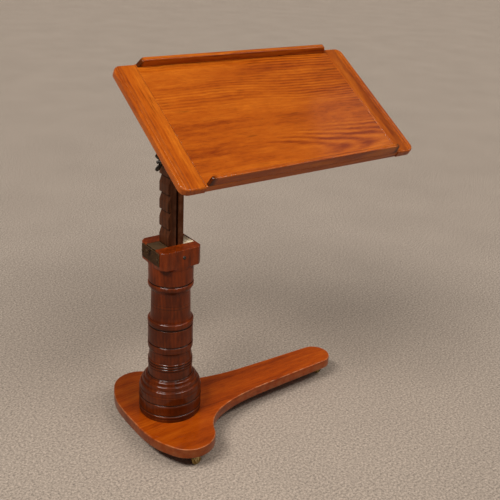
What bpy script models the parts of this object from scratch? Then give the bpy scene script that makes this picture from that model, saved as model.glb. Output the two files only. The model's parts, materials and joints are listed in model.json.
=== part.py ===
# Adjustable reading stand. A tilting board sits on a square mast with ratchet teeth.
# The mast slides in a turned, hollow column on a T shaped plank with three castors.
# Metres throughout, +Z up. The origin is on the floor under the middle of the stand,
# +X points along the arm of the plank and -Y faces the reader.

import math

import bmesh
import bpy

# Fits shared by every piece
GAP = 0.0003                    # left between two pieces that touch
SLIDE_GAP = 0.0004              # left round a piece that slides or turns
CUT_OVERRUN = 0.003             # how far a cutter runs past the face it opens
DOME_SHOULDER_SHARE = 0.87      # radius half way up a domed head, as a share of its radius
SHARP_ANGLE = math.radians(35)

# Castors, all three alike
WHEEL_RADIUS = 0.0125
WHEEL_WIDTH = 0.009
WHEEL_EDGE_ROUND = 0.0015
CASTOR_TRAIL = 0.009            # wheel centre behind the swivel axis
CASTOR_AXLE_RADIUS = 0.002
CASTOR_AXLE_HEAD_RADIUS = 0.0032
CASTOR_AXLE_HEAD_HEIGHT = 0.001
FORK_ARM_THICKNESS = 0.002
FORK_ARM_HALF_WIDTH = 0.0045
FORK_WEB_THICKNESS = 0.003
FORK_WEB_CLEARANCE = 0.0018     # above the wheel
FORK_BOSS_RADIUS = 0.0075
FORK_BOSS_HEIGHT = 0.0105
PINTLE_RADIUS = 0.0035
PINTLE_RIVET_RADIUS = 0.005
PINTLE_RIVET_HEIGHT = 0.001
CASTOR_PLATE_RADIUS = 0.017
CASTOR_PLATE_THICKNESS = 0.0025
CASTOR_SCREW_CIRCLE = 0.0125
CASTOR_SCREW_RADIUS = 0.0013
CASTOR_SCREW_LENGTH = 0.013
CASTOR_SCREW_HEAD_RADIUS = 0.0024
CASTOR_SCREW_HEAD_HEIGHT = 0.0012
CASTOR_SCREWS = 2

# Plank: cross foot, cove and arm in one outline, symmetric about the X axis
PLANK_THICKNESS = 0.026
PLANK_TOP_ROUND = 0.004
HEEL_REACH = 0.1145             # column axis to the heel
FOOT_SPREAD = 0.194             # column axis to the outside of each foot
FOOT_RADIUS = 0.069
FOOT_SETBACK = 0.021            # foot centres behind the column axis
FOOT_START_ANGLE = math.radians(150)
FOOT_END_ANGLE = math.radians(20)
HEEL_HANDLE = 0.080
FOOT_HANDLE = 0.060
COVE_FOOT_HANDLE = 0.070
COVE_ARM_HANDLE = 0.150
ARM_ROOT_REACH = 0.290          # where the cove runs into the arm
ARM_ROOT_HALF_WIDTH = 0.0505
ARM_REACH = 0.494               # column axis to the centre of the round end
ARM_END_RADIUS = 0.044
FOOT_CASTOR_SETBACK = 0.030
FOOT_CASTOR_INSET = 0.030       # in from the outside of the foot
ARM_CASTOR_INSET = 0.035        # in from the tip of the arm

# Column: a turned drum, a turned shaft and a square head, each with a spigot into the next
COLUMN_HEIGHT = 0.465
COLUMN_FOOT_RADIUS = 0.080
SPIGOT_RADIUS = 0.045           # under the drum and under the shaft
HEAD_SPIGOT_RADIUS = 0.042      # from the shaft up into the head
SPIGOT_DEPTH = 0.015
COLUMN_BORE_RADIUS = 0.0315
HEAD_HALF_WIDTH = 0.055
HEAD_HEIGHT = 0.046
HEAD_CORNER_CHAMFER = 0.011
HEAD_UNDERCUT = 0.007           # height of the slope under the corners
HEAD_TOP_CHAMFER = 0.001
MORTISE_DEPTH = 0.080           # square guide for the mast, from the top down
FACE_STEPS = 8
CHAMFER_STEPS = 2
COLUMN_SCREW_CIRCLE = 0.060
COLUMN_SCREW_RADIUS = 0.0028
COLUMN_SCREW_LENGTH = 0.055
COLUMN_SCREW_HEAD_RADIUS = 0.0055
COLUMN_SCREW_HEAD_HEIGHT = 0.003
COLUMN_SCREWS = 4
# Each row: height as a share of the column, radius as a share of the foot's radius,
# and how far the stretch up to it bulges (or is hollowed) as a share of that radius.
DRUM_PROFILE_SHARES = (
    (0.000, 0.985, 0.0), (0.009, 1.000, 0.004), (0.080, 1.000, 0.0), (0.085, 0.986, 0.0),
    (0.150, 0.990, 0.003), (0.163, 0.962, 0.006), (0.186, 0.920, 0.016), (0.190, 0.902, 0.0),
    (0.207, 0.850, 0.018), (0.212, 0.828, 0.0), (0.232, 0.722, 0.024), (0.239, 0.703, 0.0),
)
SHAFT_PROFILE_SHARES = (
    (0.239, 0.703, 0.0), (0.288, 0.708, 0.0), (0.291, 0.696, 0.0), (0.294, 0.708, 0.0), (0.304, 0.704, 0.0),
    (0.307, 0.692, 0.0), (0.310, 0.702, 0.0), (0.357, 0.672, 0.0), (0.370, 0.658, 0.0),
    (0.382, 0.664, 0.0), (0.396, 0.699, 0.008), (0.421, 0.707, 0.0), (0.516, 0.702, 0.0),
    (0.523, 0.680, 0.0), (0.530, 0.702, 0.0), (0.557, 0.706, 0.0), (0.576, 0.678, 0.010),
    (0.588, 0.630, 0.0), (0.606, 0.620, 0.0), (0.657, 0.612, 0.0), (0.660, 0.604, 0.0),
    (0.663, 0.612, 0.0), (0.727, 0.602, 0.0), (0.740, 0.612, 0.0), (0.756, 0.660, -0.008),
    (0.764, 0.668, 0.0), (0.780, 0.700, 0.010), (0.788, 0.690, 0.004),
)
PROFILE_ARC_STEPS = 2

# Mast: square post with the teeth on its -X face and the guide groove on its -Y face
MAST_WIDTH = 0.042
MAST_FLOOR_CLEARANCE = 0.006    # above the plank when fully down
TOOTH_PITCH = 0.0425
TOOTH_DEPTH = 0.007
TOOTH_SLOPE_HEIGHT = 0.020
TEETH_BELOW = 4                 # teeth that can still be used below the catch
TEETH_ABOVE = 4
LEDGE_ABOVE_HEAD = 0.0002       # supporting face of the tooth at the catch
GROOVE_WIDTH = 0.0066
GROOVE_DEPTH = 0.007
GUIDE_OFFSET = 0.0037            # groove and guide screw beside the middle, towards +X
PIVOT_ABOVE_HEAD = 0.204
GUIDE_SCREW_BELOW_TOP = 0.020
GUIDE_SCREW_RADIUS = 0.0026
GUIDE_SCREW_HEAD_RADIUS = 0.0045
GUIDE_SCREW_HEAD_HEIGHT = 0.002
GUIDE_SCREW_BITE = 0.0055       # how far its tip enters the groove

# Catch: a sprung sliding bolt in the head, with its plate and pull
CATCH_HEIGHT = 0.0217
CATCH_LENGTH = 0.0286
CATCH_TRAVEL = 0.0055
CATCH_NOSE_HEIGHT = 0.0035
CATCH_TIP_GAP = 0.0004          # nose to the tips of the teeth when drawn back
CATCH_FLANGE_HEIGHT = 0.0025
CATCH_PLATE_THICKNESS = 0.0022
CATCH_PLATE_HALF_WIDTH = 0.040
CATCH_PLATE_DROP = 0.004        # its top edge below the top of the head
CATCH_PLATE_HEIGHT = 0.034
CATCH_PLATE_CORNER = 0.003
CATCH_SCREW_INSET = 0.0055
CATCH_SCREW_RADIUS = 0.0018
CATCH_SCREW_LENGTH = 0.011
CATCH_SCREW_HEAD_RADIUS = 0.004
CATCH_SCREW_HEAD_HEIGHT = 0.0028
PULL_STEM_RADIUS = 0.0022
PULL_STEM_DROP = 0.0085         # stem axis below the top of the head
PULL_STEM_BITE = 0.006
PULL_KNOB_RADIUS = 0.005
PULL_KNOB_LENGTH = 0.006
PULL_NECK_SHARE = 0.7           # of the knob's radius, at both its ends
PULL_SHOULDER_SHARE = 0.9
SPRING_POCKET_RADIUS = 0.0052
SPRING_POCKET_DEPTH = 0.012
SPRING_RADIUS = 0.0042          # to the middle of the wire
SPRING_WIRE_RADIUS = 0.0004
SPRING_TURNS = 6
SPRING_POINTS_PER_TURN = 8
STOP_PIN_RADIUS = 0.0016
STOP_PIN_INSET = 0.0146         # in from the -X face of the head
STOP_PIN_DROP = 0.0185
STOP_PIN_HEAD_RADIUS = 0.004
STOP_PIN_HEAD_HEIGHT = 0.003
PACKING_LENGTH = 0.029
PACKING_HEIGHT = 0.0217

# Tilt joint: tongue in the slotted mast, bolt, washers and wing nut, all along X
TONGUE_THICKNESS = 0.014
TONGUE_RADIUS = 0.020
TONGUE_TOP_HALF_WIDTH = 0.026
TENON_HALF_WIDTH = 0.016        # of the tongue's tenon through the bearer
BOLT_RADIUS = 0.004
BOLT_HEAD_RADIUS = 0.0085
BOLT_HEAD_HEIGHT = 0.005
BOLT_END_REACH = 0.039          # from the mast's axis
WASHER_RADIUS = 0.010
WASHER_THICKNESS = 0.0015
NUT_BASE_RADIUS = 0.009
NUT_TIP_RADIUS = 0.007
NUT_HEIGHT = 0.009
WING_THICKNESS = 0.004
WING_ROOT_RADIUS = 0.004
WING_TIP_RADIUS = 0.0065
WING_ROOT_OFFSET = 0.006        # from the bolt axis
WING_TIP_OFFSET = 0.0155
WING_TIP_RISE = 0.0055          # past the end of the nut
BOLT_DROP_BELOW_BOARD = 0.068   # bolt axis to the reading surface

# Board: panel between two end cleats, with a ledge along each long side
BOARD_TILT = math.radians(32.5)
BOARD_WIDTH = 0.700
BOARD_OFFSET = 0.287            # board centre from the column axis, along X
BOARD_SETBACK = 0.051           # board centre behind the bolt, along the slope
BOARD_THICKNESS = 0.0185
CLEAT_WIDTH = 0.0595
CLEAT_LENGTH = 0.383
CLEAT_CORNER_RADIUS = 0.020
CLEAT_EDGE_ROUND = 0.004
PANEL_FRONT_INSET = 0.002       # behind the front ends of the cleats
PANEL_TONGUE_LENGTH = 0.010
PANEL_TONGUE_THICKNESS = 0.006
FRONT_LEDGE_HEIGHT = 0.024
FRONT_LEDGE_THICKNESS = 0.0095
FRONT_LEDGE_INSET = 0.0035      # its lower corners, in from the ends of the panel
FRONT_LEDGE_SLOPE = 0.005       # its upper corners come in by this much more
BACK_LEDGE_HEIGHT = 0.021
BACK_LEDGE_THICKNESS = 0.012
BACK_LEDGE_INSET = 0.002
BACK_LEDGE_SLOPE = 0.011
LEDGE_TOP_ROUND = 0.002
LEDGE_REBATE = 0.001            # depth that the ledges are let into the panel
LEDGE_SCREW_RADIUS = 0.0018
LEDGE_SCREW_BITE = 0.014
LEDGE_SCREW_HEAD_RADIUS = 0.0036
LEDGE_SCREW_HEAD_HEIGHT = 0.002
LEDGE_SCREWS = 3
LEDGE_SCREW_END_SHARE = 0.86    # outermost screw, as a share of half the panel

# Bearer under the board, which carries its overhang
BEARER_THICKNESS = 0.016
BEARER_HALF_WIDTH = 0.034
BEARER_LEFT = 0.050             # reach from the column axis towards -X
BEARER_RIGHT = 0.430
BEARER_END_CHAMFER = 0.008
BEARER_SCREW_RADIUS = 0.0022
BEARER_SCREW_BITE = 0.012
BEARER_SCREW_HEAD_RADIUS = 0.0044
BEARER_SCREW_HEAD_HEIGHT = 0.0025
BEARER_SCREW_PLACE_SHARES = (-0.7, 0.2, 0.58, 0.94)
BEARER_SCREW_SIDE_SHARE = 0.55

# Sides of round pieces
COLUMN_SIDES = 40
WHEEL_SIDES = 20
PLATE_SIDES = 16
BOLT_SIDES = 12
SCREW_SIDES = 8
ARC_STEPS = 10

# Base colour, roughness and metallic of each material
MATERIAL_FINISHES = {
    "plank_mahogany": ((0.27, 0.075, 0.022), 0.30, 0.0),
    "column_mahogany": ((0.085, 0.022, 0.011), 0.25, 0.0),
    "mast_mahogany": ((0.045, 0.014, 0.008), 0.45, 0.0),
    "board_mahogany": ((0.42, 0.115, 0.028), 0.28, 0.0),
    "packing_wood": ((0.75, 0.62, 0.40), 0.60, 0.0),
    "dark_iron": ((0.05, 0.05, 0.04), 0.45, 0.9),
    "brass": ((0.55, 0.38, 0.12), 0.35, 1.0),
    "steel": ((0.35, 0.34, 0.32), 0.40, 1.0),
}

# Heights and places that follow from the sizes above
FORK_WEB_BOTTOM = 2 * WHEEL_RADIUS + FORK_WEB_CLEARANCE
FORK_TOP = FORK_WEB_BOTTOM + FORK_WEB_THICKNESS + FORK_BOSS_HEIGHT
CASTOR_HEIGHT = FORK_TOP + SLIDE_GAP + CASTOR_PLATE_THICKNESS
PLANK_BOTTOM = CASTOR_HEIGHT + GAP
PLANK_TOP = PLANK_BOTTOM + PLANK_THICKNESS
HEAD_TOP = PLANK_TOP + COLUMN_HEIGHT
PIVOT_HEIGHT = HEAD_TOP + PIVOT_ABOVE_HEAD
MAST_HALF = MAST_WIDTH / 2
MORTISE_HALF = MAST_HALF + SLIDE_GAP
HEAD_FOOT = HEAD_TOP - HEAD_HEIGHT - HEAD_UNDERCUT
MORTISE_FLOOR = HEAD_TOP - MORTISE_DEPTH
LEDGE_HEIGHT_AT_CATCH = HEAD_TOP + LEDGE_ABOVE_HEAD
MAST_BOTTOM = PLANK_TOP + TEETH_ABOVE * TOOTH_PITCH + MAST_FLOOR_CLEARANCE
GUIDE_SCREW_HEIGHT = HEAD_TOP - GUIDE_SCREW_BELOW_TOP
CATCH_TOP = HEAD_TOP - GAP
SLOT_FLOOR = CATCH_TOP - CATCH_HEIGHT - GAP
CATCH_NOSE_X = -MAST_HALF - CATCH_TIP_GAP
CATCH_BACK_X = CATCH_NOSE_X - CATCH_LENGTH
CATCH_PLATE_INNER_X = -HEAD_HALF_WIDTH - GAP
CATCH_PLATE_OUTER_X = CATCH_PLATE_INNER_X - CATCH_PLATE_THICKNESS
STEM_HEIGHT = HEAD_TOP - PULL_STEM_DROP
WHEEL_CORNER_RADIUS = WHEEL_RADIUS / math.cos(math.pi / WHEEL_SIDES)
BOARD_HALF = BOARD_WIDTH / 2
PANEL_HALF = BOARD_HALF - CLEAT_WIDTH
PANEL_FRONT = BOARD_SETBACK - CLEAT_LENGTH / 2 + PANEL_FRONT_INSET
PANEL_BACK = BOARD_SETBACK + CLEAT_LENGTH / 2
BOARD_TOP = BOLT_DROP_BELOW_BOARD
BOARD_BOTTOM = BOARD_TOP - BOARD_THICKNESS
BEARER_TOP = BOARD_BOTTOM - GAP
BEARER_BOTTOM = BEARER_TOP - BEARER_THICKNESS
COLUMN_X = (HEEL_REACH - BOARD_OFFSET - BOARD_HALF) / 2


# Small builders

def clear_scene():
    for scene_object in list(bpy.data.objects):
        bpy.data.objects.remove(scene_object, do_unlink=True)


def make_material(name, colour, roughness, metallic):
    material = bpy.data.materials.new(name)
    material.use_nodes = True
    shader = material.node_tree.nodes["Principled BSDF"]
    shader.inputs["Base Color"].default_value = (*colour, 1.0)
    shader.inputs["Roughness"].default_value = roughness
    shader.inputs["Metallic"].default_value = metallic
    return material


def make_empty(name, location, parent=None, rotation=(0.0, 0.0, 0.0)):
    empty = bpy.data.objects.new(name, None)
    empty.location = location
    empty.rotation_euler = rotation
    empty.parent = parent
    bpy.context.scene.collection.objects.link(empty)
    return empty


def object_from_bmesh(name, mesh_data):
    bmesh.ops.recalc_face_normals(mesh_data, faces=mesh_data.faces)
    mesh = bpy.data.meshes.new(name)
    mesh_data.to_mesh(mesh)
    mesh_data.free()
    made = bpy.data.objects.new(name, mesh)
    bpy.context.scene.collection.objects.link(made)
    return made


def loft(name, rings):
    """A closed solid through rings of equal point count, with flat ends."""
    mesh_data = bmesh.new()
    loops = [[mesh_data.verts.new(point) for point in ring] for ring in rings]
    count = len(loops[0])
    for lower, upper in zip(loops, loops[1:]):
        for index in range(count):
            following = (index + 1) % count
            mesh_data.faces.new((lower[index], lower[following], upper[following], upper[index]))
    mesh_data.faces.new(loops[0])
    mesh_data.faces.new(loops[-1])
    return object_from_bmesh(name, mesh_data)


def along_axis(axis, along, first, second):
    """A point whose along value lies on the axis; first and second follow in cyclic order."""
    if axis == "X":
        return (along, first, second)
    if axis == "Y":
        return (second, along, first)
    return (first, second, along)


def prism(name, outline, axis, start, end):
    """An outline of pairs, pushed along the axis from start to end."""
    rings = [[along_axis(axis, along, *pair) for pair in outline] for along in (start, end)]
    return loft(name, rings)


def turned(name, profile, sides, axis="Z", centre=(0.0, 0.0)):
    """A solid of revolution from pairs of radius and place along the axis."""
    rings = []
    for radius, along in profile:
        ring = []
        for step in range(sides):
            angle = 2 * math.pi * (step + 0.5) / sides
            first = centre[0] + radius * math.cos(angle)
            second = centre[1] + radius * math.sin(angle)
            ring.append(along_axis(axis, along, first, second))
        rings.append(ring)
    return loft(name, rings)


def rod(name, radius, start, end, sides, axis="Z", centre=(0.0, 0.0)):
    return turned(name, ((radius, start), (radius, end)), sides, axis, centre)


def block(name, x_range, y_range, z_range):
    outline = [(x_range[0], y_range[0]), (x_range[1], y_range[0]),
               (x_range[1], y_range[1]), (x_range[0], y_range[1])]
    return prism(name, outline, "Z", *z_range)


def combine(target, others, operation="DIFFERENCE"):
    """Applies exact booleans to the target and removes the other objects."""
    for other in others:
        modifier = target.modifiers.new(operation.lower(), "BOOLEAN")
        modifier.operation = operation
        modifier.solver = "EXACT"
        modifier.object = other
    bpy.context.view_layer.update()
    depsgraph = bpy.context.evaluated_depsgraph_get()
    result = bpy.data.meshes.new_from_object(target.evaluated_get(depsgraph))
    target.modifiers.clear()
    target.data = result
    for other in others:
        bpy.data.objects.remove(other, do_unlink=True)
    return target


def round_edges(target, width, segments, wanted, spared=lambda point: False):
    """Bevels the edges whose two end points both pass the wanted test, and not both the spared one."""
    mesh_data = bmesh.new()
    mesh_data.from_mesh(target.data)
    edges = [edge for edge in mesh_data.edges
             if all(wanted(vertex.co) for vertex in edge.verts)
             and not all(spared(vertex.co) for vertex in edge.verts)
             and edge.calc_face_angle(0.0) > SHARP_ANGLE]
    bmesh.ops.bevel(mesh_data, geom=edges, offset=width, segments=segments,
                    profile=0.5, affect="EDGES", clamp_overlap=True)
    mesh_data.to_mesh(target.data)
    mesh_data.free()
    return target


def finish(target, material, parent):
    target.data.materials.clear()
    target.data.materials.append(material)
    target.data.shade_smooth()
    target.data.set_sharp_from_angle(angle=SHARP_ANGLE)
    target.parent = parent
    return target


def arc(centre, radius, start, end, steps):
    """Points of an arc, both ends included."""
    points = []
    for step in range(steps + 1):
        angle = start + (end - start) * step / steps
        points.append((centre[0] + radius * math.cos(angle), centre[1] + radius * math.sin(angle)))
    return points


def bezier(start, first_handle, second_handle, end, steps):
    """Points of a cubic Bezier curve, both ends included."""
    points = []
    for step in range(steps + 1):
        t = step / steps
        weights = ((1 - t) ** 3, 3 * t * (1 - t) ** 2, 3 * t * t * (1 - t), t ** 3)
        corners = (start, first_handle, second_handle, end)
        points.append(tuple(sum(w * corner[k] for w, corner in zip(weights, corners)) for k in (0, 1)))
    return points


def bulged(start, end, bulge, steps):
    """Points from start to end that swell sideways by the bulge in mid run, end included."""
    length = math.dist(start, end)
    side = ((end[1] - start[1]) / length, -(end[0] - start[0]) / length)
    points = []
    for step in range(1, steps + 1):
        t = step / steps
        swell = 4 * bulge * t * (1 - t)
        points.append((start[0] + (end[0] - start[0]) * t + side[0] * swell,
                       start[1] + (end[1] - start[1]) * t + side[1] * swell))
    return points


def wood_screw(name, radius, head_radius, head_height, head_end, tip, axis="Z", centre=(0.0, 0.0)):
    """A countersunk screw: flat head at head_end, pointed shank to tip."""
    direction = math.copysign(1.0, tip - head_end)
    profile = ((head_radius, head_end), (radius, head_end + direction * head_height),
               (radius, tip - direction * 2 * radius), (radius / 4, tip))
    return turned(name, profile, SCREW_SIDES, axis, centre)


def screw_hole(radius, head_radius, head_height, head_end, tip, axis="Z", centre=(0.0, 0.0)):
    """A cutter that leaves the gap all round a countersunk screw."""
    direction = math.copysign(1.0, tip - head_end)
    profile = ((head_radius + GAP, head_end - direction * CUT_OVERRUN),
               (head_radius + GAP, head_end + direction * GAP),
               (radius + GAP, head_end + direction * (head_height + GAP)),
               (radius + GAP, tip + direction * GAP))
    return turned("screw_hole", profile, SCREW_SIDES, axis, centre)


def round_head_screw(name, radius, head_radius, head_height, seat, tip, axis, centre):
    """A screw whose domed head stands out from its seat."""
    direction = math.copysign(1.0, tip - seat)
    profile = ((head_radius / 2, seat - direction * head_height),
               (head_radius * DOME_SHOULDER_SHARE, seat - direction * head_height / 2),
               (head_radius, seat), (radius, seat),
               (radius, tip - direction * radius), (radius / 4, tip))
    return turned(name, profile, SCREW_SIDES, axis, centre)


# Plank and castors

def plank_outline():
    """The plan of the plank: one half walked from heel to tip, then mirrored."""
    foot_centre = (-FOOT_SETBACK, FOOT_SPREAD - FOOT_RADIUS)
    foot = arc(foot_centre, FOOT_RADIUS, FOOT_START_ANGLE, FOOT_END_ANGLE, ARC_STEPS)
    heading_in = (math.sin(FOOT_START_ANGLE), -math.cos(FOOT_START_ANGLE))
    heading_out = (math.sin(FOOT_END_ANGLE), -math.cos(FOOT_END_ANGLE))
    heel = bezier((-HEEL_REACH, 0.0), (-HEEL_REACH, HEEL_HANDLE),
                  (foot[0][0] - heading_in[0] * FOOT_HANDLE, foot[0][1] - heading_in[1] * FOOT_HANDLE),
                  foot[0], ARC_STEPS)
    taper = (ARM_ROOT_HALF_WIDTH - ARM_END_RADIUS) / (ARM_REACH - ARM_ROOT_REACH)
    root = (ARM_ROOT_REACH, ARM_ROOT_HALF_WIDTH)
    cove = bezier(foot[-1],
                  (foot[-1][0] + heading_out[0] * COVE_FOOT_HANDLE,
                   foot[-1][1] + heading_out[1] * COVE_FOOT_HANDLE),
                  (root[0] - COVE_ARM_HANDLE, root[1] + taper * COVE_ARM_HANDLE), root, ARC_STEPS)
    tip = arc((ARM_REACH, 0.0), ARM_END_RADIUS, math.pi / 2, 0.0, ARC_STEPS)
    half = heel[:-1] + foot[:-1] + cove + tip
    mirrored = [(x, -y) for x, y in reversed(half[1:-1])]
    return half + mirrored


def castor_places():
    foot_y = FOOT_SPREAD - FOOT_CASTOR_INSET
    arm_x = ARM_REACH + ARM_END_RADIUS - ARM_CASTOR_INSET
    return {
        "front": (-FOOT_CASTOR_SETBACK, -foot_y),
        "back": (-FOOT_CASTOR_SETBACK, foot_y),
        "arm": (arm_x, 0.0),
    }


def castor_screw_places(centre):
    places = []
    for index in range(CASTOR_SCREWS):
        angle = 2 * math.pi * index / CASTOR_SCREWS
        places.append((centre[0] + CASTOR_SCREW_CIRCLE * math.cos(angle),
                       centre[1] + CASTOR_SCREW_CIRCLE * math.sin(angle)))
    return places


def column_screw_places():
    places = []
    for index in range(COLUMN_SCREWS):
        angle = 2 * math.pi * (index + 0.5) / COLUMN_SCREWS
        places.append((COLUMN_SCREW_CIRCLE * math.cos(angle), COLUMN_SCREW_CIRCLE * math.sin(angle)))
    return places


def column_screw_tip():
    return PLANK_BOTTOM + COLUMN_SCREW_LENGTH


def build_plank(material, stand):
    plank = prism("base_plank", plank_outline(), "Z", PLANK_BOTTOM, PLANK_TOP)
    round_edges(plank, PLANK_TOP_ROUND, 2, lambda point: point.z > PLANK_TOP - GAP)
    cutters = [rod("mortise", SPIGOT_RADIUS + GAP, PLANK_TOP - SPIGOT_DEPTH - GAP,
                   PLANK_TOP + CUT_OVERRUN, 2 * WHEEL_SIDES)]
    for place in column_screw_places():
        cutters.append(screw_hole(COLUMN_SCREW_RADIUS, COLUMN_SCREW_HEAD_RADIUS, COLUMN_SCREW_HEAD_HEIGHT,
                                  PLANK_BOTTOM, column_screw_tip(), centre=place))
    for centre in castor_places().values():
        for place in castor_screw_places(centre):
            cutters.append(rod("screw_hole", CASTOR_SCREW_RADIUS + GAP, PLANK_BOTTOM - CUT_OVERRUN,
                               castor_screw_tip() + GAP, SCREW_SIDES, centre=place))
    finish(combine(plank, cutters), material, stand)


def castor_screw_tip():
    return CASTOR_HEIGHT - CASTOR_PLATE_THICKNESS - GAP + CASTOR_SCREW_LENGTH


def castor_plate_profile():
    """Plate, pintle through the fork and the rivet under the fork's web."""
    rivet_top = FORK_WEB_BOTTOM - GAP
    return ((PINTLE_RIVET_RADIUS, rivet_top - PINTLE_RIVET_HEIGHT), (PINTLE_RIVET_RADIUS, rivet_top),
            (PINTLE_RADIUS, rivet_top), (PINTLE_RADIUS, CASTOR_HEIGHT - CASTOR_PLATE_THICKNESS),
            (CASTOR_PLATE_RADIUS, CASTOR_HEIGHT - CASTOR_PLATE_THICKNESS),
            (CASTOR_PLATE_RADIUS, CASTOR_HEIGHT))


def build_castor(place_name, place, metals, stand):
    """Plate and screws stay with the plank; fork and axle swivel; the wheel spins."""
    brass, steel = metals
    plate = turned("castor_plate_" + place_name, castor_plate_profile(), PLATE_SIDES, centre=place)
    screw_seat = CASTOR_HEIGHT - CASTOR_PLATE_THICKNESS - GAP
    holes = [rod("hole", CASTOR_SCREW_RADIUS + GAP, screw_seat - CUT_OVERRUN, CASTOR_HEIGHT + CUT_OVERRUN,
                 SCREW_SIDES, centre=spot) for spot in castor_screw_places(place)]
    finish(combine(plate, holes), brass, stand)
    for number, spot in enumerate(castor_screw_places(place), 1):
        screw = round_head_screw("castor_screw_%s_%d" % (place_name, number), CASTOR_SCREW_RADIUS,
                                 CASTOR_SCREW_HEAD_RADIUS, CASTOR_SCREW_HEAD_HEIGHT, screw_seat,
                                 castor_screw_tip(), "Z", spot)
        finish(screw, steel, stand)

    swivel = make_empty("swivel_" + place_name, (*place, 0.0), stand)
    finish(build_fork("castor_fork_" + place_name), brass, swivel)
    arm_outer = WHEEL_WIDTH / 2 + 2 * SLIDE_GAP + FORK_ARM_THICKNESS
    head_start = arm_outer + GAP
    head_end = head_start + CASTOR_AXLE_HEAD_HEIGHT
    axle_centre = (WHEEL_RADIUS, CASTOR_TRAIL)
    axle = turned("castor_axle_" + place_name,
                  ((CASTOR_AXLE_HEAD_RADIUS, -head_end), (CASTOR_AXLE_HEAD_RADIUS, -head_start),
                   (CASTOR_AXLE_RADIUS, -head_start), (CASTOR_AXLE_RADIUS, head_start),
                   (CASTOR_AXLE_HEAD_RADIUS, head_start), (CASTOR_AXLE_HEAD_RADIUS, head_end)),
                  SCREW_SIDES, "Y", axle_centre)
    finish(axle, brass, swivel)

    hub = make_empty("hub_" + place_name, (CASTOR_TRAIL, 0.0, WHEEL_RADIUS), swivel)
    half = WHEEL_WIDTH / 2
    shoulder = WHEEL_CORNER_RADIUS - WHEEL_EDGE_ROUND
    wheel = turned("castor_wheel_" + place_name,
                   ((shoulder, -half), (WHEEL_CORNER_RADIUS, WHEEL_EDGE_ROUND - half),
                    (WHEEL_CORNER_RADIUS, half - WHEEL_EDGE_ROUND), (shoulder, half)),
                   WHEEL_SIDES, "Y")
    bore = rod("bore", CASTOR_AXLE_RADIUS + GAP, -half - CUT_OVERRUN, half + CUT_OVERRUN, SCREW_SIDES, "Y")
    finish(combine(wheel, [bore]), brass, hub)


def build_fork(name):
    """Boss and web on the swivel axis, with two arms that reach back to the axle."""
    arm_inner = WHEEL_WIDTH / 2 + 2 * SLIDE_GAP
    arm_outer = arm_inner + FORK_ARM_THICKNESS
    web_top = FORK_WEB_BOTTOM + FORK_WEB_THICKNESS
    fork = rod(name, FORK_BOSS_RADIUS, FORK_WEB_BOTTOM, FORK_TOP, PLATE_SIDES)
    web = block("web", (-FORK_ARM_HALF_WIDTH, CASTOR_TRAIL + FORK_ARM_HALF_WIDTH),
                (-arm_outer, arm_outer), (FORK_WEB_BOTTOM, web_top))
    lower_end = arc((WHEEL_RADIUS, CASTOR_TRAIL), FORK_ARM_HALF_WIDTH,
                    math.pi * 1.5, math.pi / 2, ARC_STEPS // 2)
    arm_outline = [(web_top, -FORK_ARM_HALF_WIDTH), *lower_end, (web_top, CASTOR_TRAIL + FORK_ARM_HALF_WIDTH)]
    arms = [prism("arm", arm_outline, "Y", *sides)
            for sides in ((-arm_outer, -arm_inner), (arm_inner, arm_outer))]
    combine(fork, [web, *arms], "UNION")
    return combine(fork, [
        rod("pintle_bore", PINTLE_RADIUS + GAP, FORK_WEB_BOTTOM - CUT_OVERRUN, FORK_TOP + CUT_OVERRUN,
            PLATE_SIDES),
        rod("axle_bore", CASTOR_AXLE_RADIUS + GAP, -arm_outer - CUT_OVERRUN, arm_outer + CUT_OVERRUN,
            SCREW_SIDES, "Y", (WHEEL_RADIUS, CASTOR_TRAIL)),
    ])


# Column and its head

def head_angles():
    """Angles of one turn that hit every corner of the chamfered square."""
    corner = math.atan2(HEAD_HALF_WIDTH - HEAD_CORNER_CHAMFER, HEAD_HALF_WIDTH)
    angles = []
    for quarter in range(4):
        centre = quarter * math.pi / 2
        angles += [centre + corner * (2 * step / FACE_STEPS - 1) for step in range(FACE_STEPS)]
        width = math.pi / 2 - 2 * corner
        angles += [centre + corner + width * step / CHAMFER_STEPS for step in range(CHAMFER_STEPS)]
    return angles


def head_radius(angle, inset):
    """Distance from the axis to the chamfered square, drawn in by the inset, at an angle."""
    turned_back = (angle + math.pi / 4) % (math.pi / 2) - math.pi / 4
    to_face = (HEAD_HALF_WIDTH - inset) / math.cos(turned_back)
    corner_distance = (2 * HEAD_HALF_WIDTH - HEAD_CORNER_CHAMFER) / math.sqrt(2)
    to_chamfer = (corner_distance - inset) / math.cos(math.pi / 4 - abs(turned_back))
    return min(to_face, to_chamfer)


def moulded(shares, start):
    """Pairs of radius and height for the rows of one profile; start is where share 0 lies."""
    points = []
    here = None
    for height_share, radius_share, bulge_share in shares:
        point = (COLUMN_FOOT_RADIUS * radius_share, start + COLUMN_HEIGHT * height_share)
        if here and bulge_share:
            points += bulged(here, point, COLUMN_FOOT_RADIUS * bulge_share, PROFILE_ARC_STEPS)
        else:
            points.append(point)
        here = point
    return points


def drum_top():
    return PLANK_TOP + GAP + COLUMN_HEIGHT * DRUM_PROFILE_SHARES[-1][0]


def mortise_cutter(floor):
    """Square hole that guides the mast, open at the top."""
    half = (-MORTISE_HALF, MORTISE_HALF)
    return block("mortise", half, half, (floor, HEAD_TOP + CUT_OVERRUN))


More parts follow.
